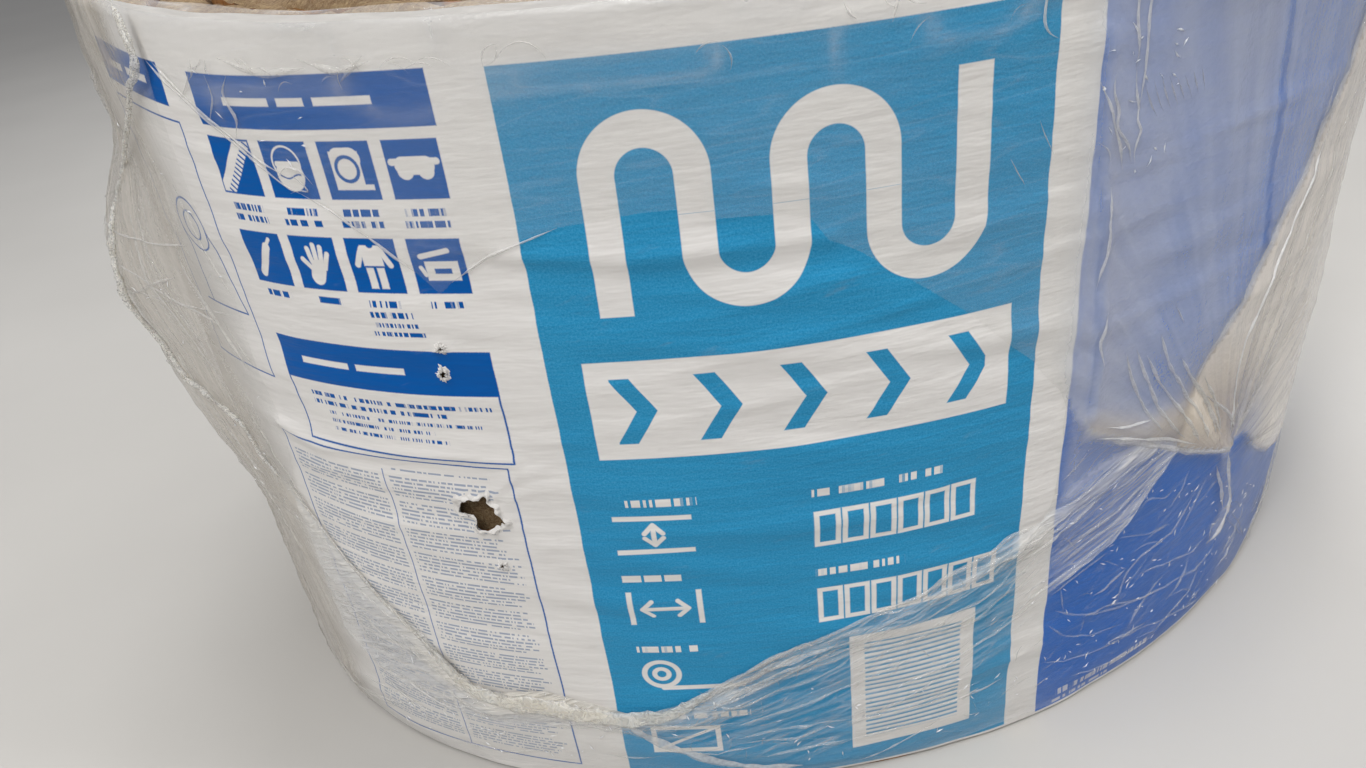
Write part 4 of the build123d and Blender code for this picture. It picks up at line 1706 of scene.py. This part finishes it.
def streaked(p, place, along, across, turn, low, high):
    """Fine streaks, from -0.5 to 0.5: noise that is long one way and short the other, in mm."""
    return p.between(p.long_noise(place, along, across, turn, 2.0, 0.6), low, high) - 0.5


def creased(p, place, along, across, turn, sharp):
    """Thin bright crease lines: where a stretched noise crosses its middle."""
    value = p.long_noise(place, along, across, turn, 1.0, 0.5)
    return (1 - abs(value - 0.5) * sharp).high(0.0) ** 2


def zone_pattern(p, zone):
    """Streaks, from about -0.5 to 0.5, and lines, from 0 to 1, that follow the pull in a zone."""
    if zone in ("fan", "upper"):
        to_gather = p.vector("SUBTRACT", p.flat, (*GATHER, 0))
        angle = p.axis(to_gather, 1).math("ARCTAN2", p.axis(to_gather, 0))
        reach = p.vector("LENGTH", to_gather, output=1)
        polar = p.node("CombineXYZ", None, {0: reach, 1: angle * 120})
        return streaked(p, polar, 170, 9, 0, 0.3, 0.7), creased(p, polar, 210, 16, 0, 16)
    if zone == "band":
        return streaked(p, p.flat, 46, 3.4, 20, 0.3, 0.7), creased(p, p.flat, 40, 4.5, 22, 16)
    if zone == "left":
        return streaked(p, p.flat, 90, 9, 106, 0.2, 0.8), creased(p, p.flat, 110, 13, 101, 20)
    return p.noise(p.flat, 0.09) - 0.5, creased(p, p.flat, 46, 11, 34, 30)


# What each zone has: strength of streaks and lines, colour where it is thin and where it is milky
ZONE_LOOKS = {
    "fan": (0.1, 0.05, ink(240, 238, 234), ink(228, 220, 209)),
    "upper": (0.06, 0.02, ink(226, 230, 236), ink(206, 196, 181)),
    "band": (0.2, 0.2, ink(232, 232, 232), ink(242, 238, 230)),
    # The left zone's colours are darker and greyer than the film elsewhere: partly the film's own
    # tint, partly painted shade on the loose fold.
    "left": (0.17, 0.1, ink(204, 198, 189), ink(190, 181, 168)),
    "lower_right": (0.05, 0.1, ink(206, 208, 214), ink(196, 192, 186)),
    None: (0.05, 0.05, ink(228, 228, 228), ink(214, 208, 198)),
}


def clear_film(zone=None):
    """The finish of the film in one zone, or where it is plain."""
    p = Print(f"clear film, {zone or 'plain'}")
    haze = p.attribute("haze")
    fine = p.noise(p.flat, 0.3, 2.0, 0.7)
    streak_share, line_share, thin, milky = ZONE_LOOKS[zone]
    if zone:
        weight = p.attribute(zone)
        streaks, lines = zone_pattern(p, zone)
        streaks, lines = streaks * weight * streak_share, lines * weight * line_share
    else:
        streaks = (p.long_noise(p.flat, 120, 10, 4, 2.0) - 0.5) * streak_share
        lines = creased(p, p.flat, 80, 12, 4, 30) * line_share
    crest = p.node("LayerWeight", None, {"Blend": 0.22}, output=1)
    share = (haze + streaks + lines + (fine - 0.5) * 0.05 + crest * 0.1).high(0.02).low(0.97)
    normal = p.bump(streaks * 1.5 + lines + (fine - 0.5) * 0.3, 0.002, strength=0.8)
    milky_share = p.between(haze, 0.3, 0.7)
    tint = p.mix(milky_share, thin, milky)
    if zone:
        tint = p.mix(weight, p.mix(milky_share, *ZONE_LOOKS[None][2:]), tint)
    # Round the densest spot of the gathered film its tint turns a darker beige.
    if zone in ("fan", "upper"):
        from_gather = p.vector("DISTANCE", p.flat, DENSE_SPOT, output=1)
        tint = p.mix(p.between(from_gather, 62, 10) * 0.85, tint, ink(196, 182, 164))
    return film_skin(p, share, tint, 0.14, normal)


def folded_film():
    """Creases: the same film folded double, whiter along the crest. The whitest, the glints, are a
    painted highlight.
    """
    p = Print("folded film")
    haze = p.attribute("haze")
    fine = p.noise(p.flat, 0.7, 2.0, 0.7)
    share = (haze + (fine - 0.5) * 0.45).high(0.04).low(0.95)
    # The whitest colour, at the top of the haze where the glints lie, is a painted highlight.
    colour = p.mix(p.between(haze, 0.3, 1.0), ink(224, 221, 216), ink(250, 250, 252))
    return film_skin(p, share, colour, 0.12, p.bump(fine, 0.0008))


def roped_film(name, size, thin, dense):
    """Film run together: cream white ridges, with clearer cells of that size in mm between them."""
    p = Print(name)
    place = p.vector("MULTIPLY", p.on_object(), MILLIMETRES)
    cells = p.noise(place, 1 / size, 2.0, 0.6, 1.2)
    ridge = (1 - abs(cells - 0.5) * 9).high(0.0)
    cloud = p.noise(place, 0.4 / size, 2.0)
    share = (ridge * (dense - thin) + thin + (cloud - 0.5) * 0.5).high(0.08).low(0.96)
    colour = p.mix(cloud, ink(238, 228, 210), ink(253, 250, 243))
    scatter = {
        "Subsurface Weight": 0.8, "Subsurface Radius": (1.0, 0.95, 0.85), "Subsurface Scale": 0.006
    }
    return film_skin(p, share, colour, 0.13, p.bump(ridge + cloud, 0.0006, 0.7), scatter)


film_finish = clear_film()
zone_finishes = [clear_film(zone) for zone in FILM_ZONES]
fold_finish = folded_film()
crushed_finish = roped_film("crushed film", 1.7, 0.26, 0.92)
rope_finish = roped_film("roped film", 6.0, 0.34, 0.62)

# %% [markdown]
# ## Wool and paper
# Glass wool is a mat of fine brown fibres in layers, matt and patchy. The paper is smooth kraft
# with darker and lighter fibre, and a slight shine from its asphalt backing.

# %% Glass wool
def glass_wool():
    p = Shader("glass wool")
    place = p.on_object()
    patches = p.noise(place, 26.0, 5.0, 0.65)
    fibres = p.long_noise(place, 1.0, 0.4, 20, 5.0, 0.75, 1.6, scale=240.0)
    strands = p.noise(place, 620.0, 3.0, 0.7, 2.2)
    colour = p.mix(p.between(patches, 0.3, 0.72), ink(128, 95, 62), ink(188, 156, 112))
    colour = p.mix(p.between(fibres, 0.42, 0.66) * 0.55, colour, ink(214, 190, 150))
    colour = p.mix(p.between(fibres, 0.5, 0.3) * 0.6, colour, ink(92, 64, 36))
    normal = p.bump(fibres * 0.7 + strands * 0.5 + patches * 0.6, 0.004)
    rough = p.between(strands, 0.2, 0.8, 0.82, 1.0)
    return p.surface(p.skin(colour, rough, {"Normal": normal}))


def kraft_paper():
    p = Print("kraft paper")
    fibre = p.noise(p.on_object(), 300.0, 5.0, 0.7, 0.5)
    cloud = p.noise(p.on_object(), 18.0, 4.0, 0.6)
    colour = p.mix(p.between(fibre, 0.3, 0.7), ink(112, 70, 34), ink(162, 112, 62))
    colour = p.mix(p.between(cloud, 0.35, 0.75) * 0.35, colour, ink(88, 58, 32))
    streaks = p.long_noise(p.flat, 34.0, 3.2, 74, 2.0, 0.6)
    colour = p.mix(p.between(streaks, 0.52, 0.64) * 0.5, colour, ink(180, 134, 84))
    colour = p.mix(p.between(streaks, 0.48, 0.38) * 0.75, colour, ink(52, 31, 15))
    normal = p.bump(fibre + cloud * 1.6 + streaks, 0.0012, strength=0.7)
    rough = p.between(cloud, 0.3, 0.7, 0.56, 0.72)
    return p.surface(p.skin(colour, rough, {"Normal": normal, "Specular IOR Level": 0.2}))


wool_finish, paper_finish = glass_wool(), kraft_paper()
print("materials", len(bpy.data.materials))

# %% [markdown]
# ## Put together
# Each piece takes its finishes and rides on the roll.

# %% Finishes, and riding on the roll
fit_out(wool, "glass_wool", wool_finish)
fit_out(paper, "kraft_paper", paper_finish)
fit_out(sleeve, "printed_film", sleeve_finish, *part_finishes)
fit_out(film, "clear_film", film_finish, *zone_finishes)
fit_out(folds, "clear_film", fold_finish)
for lip in lips:
    fit_out(lip, "printed_film", sleeve_finish)
fit_out(left_rope, "clear_film", crushed_finish)
for rope in low_ropes:
    fit_out(rope, "clear_film", rope_finish)

# %% [markdown]
# The sleeve and the film have several finishes, so each face is told which one to take. On the
# sleeve that goes by s. On the film it is the zone that weighs most at the face's first corner, or
# the plain finish where no zone weighs enough.

# %% Which finish each face takes
PLAIN_WEIGHT, UPPER_FACTOR = 0.04, 0.6


def tell_faces(piece, chosen):
    piece.data.polygons.foreach_set("material_index", chosen.astype(np.int32))
    print(piece.name, "faces of each finish", np.bincount(chosen).tolist())


lay = read(sleeve.data.uv_layers["lay"].data, "uv", 2, np.float32).reshape(-1, 2)
face_s = lay[read(sleeve.data.polygons, "loop_start"), 0] * 1000
tell_faces(sleeve, sum(np.where((face_s > low) & (face_s < high), i, 0)
                       for i, (low, high) in enumerate(PRINTED_PARTS.values(), 1)))
face_vertex = read(film.data.loops, "vertex_index")[read(film.data.polygons, "loop_start")]
weights = [np.full(len(face_vertex), PLAIN_WEIGHT)]
for zone in FILM_ZONES:
    values = read(film.data.attributes[zone].data, "value", 1, np.float32)[face_vertex]
    weights.append(values * UPPER_FACTOR if zone == "upper" else values)
tell_faces(film, np.argmax(weights, axis=0))

# %% [markdown]
# Four pieces stand for the plain solids of the imported model. The films and the paper are sheets:
# the sleeve is as long as the roll is round, the film laps a little over itself, and the paper is as
# long as the batt. Only the film's flat size is worked out here.

# %% Standing for the plain solids, and sheets
LAP, TURNED_IN = 0.02, 6

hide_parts("glass_wool_roll")
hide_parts("kraft_facing")
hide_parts("printed_sleeve")
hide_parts("stretch_wrap")

film_size = (AROUND / 1000 + LAP, (FILM_TOP + TURNED_IN) / 1000)
AROUND / 1000
film_size[0] * film_size[1] - opening_area
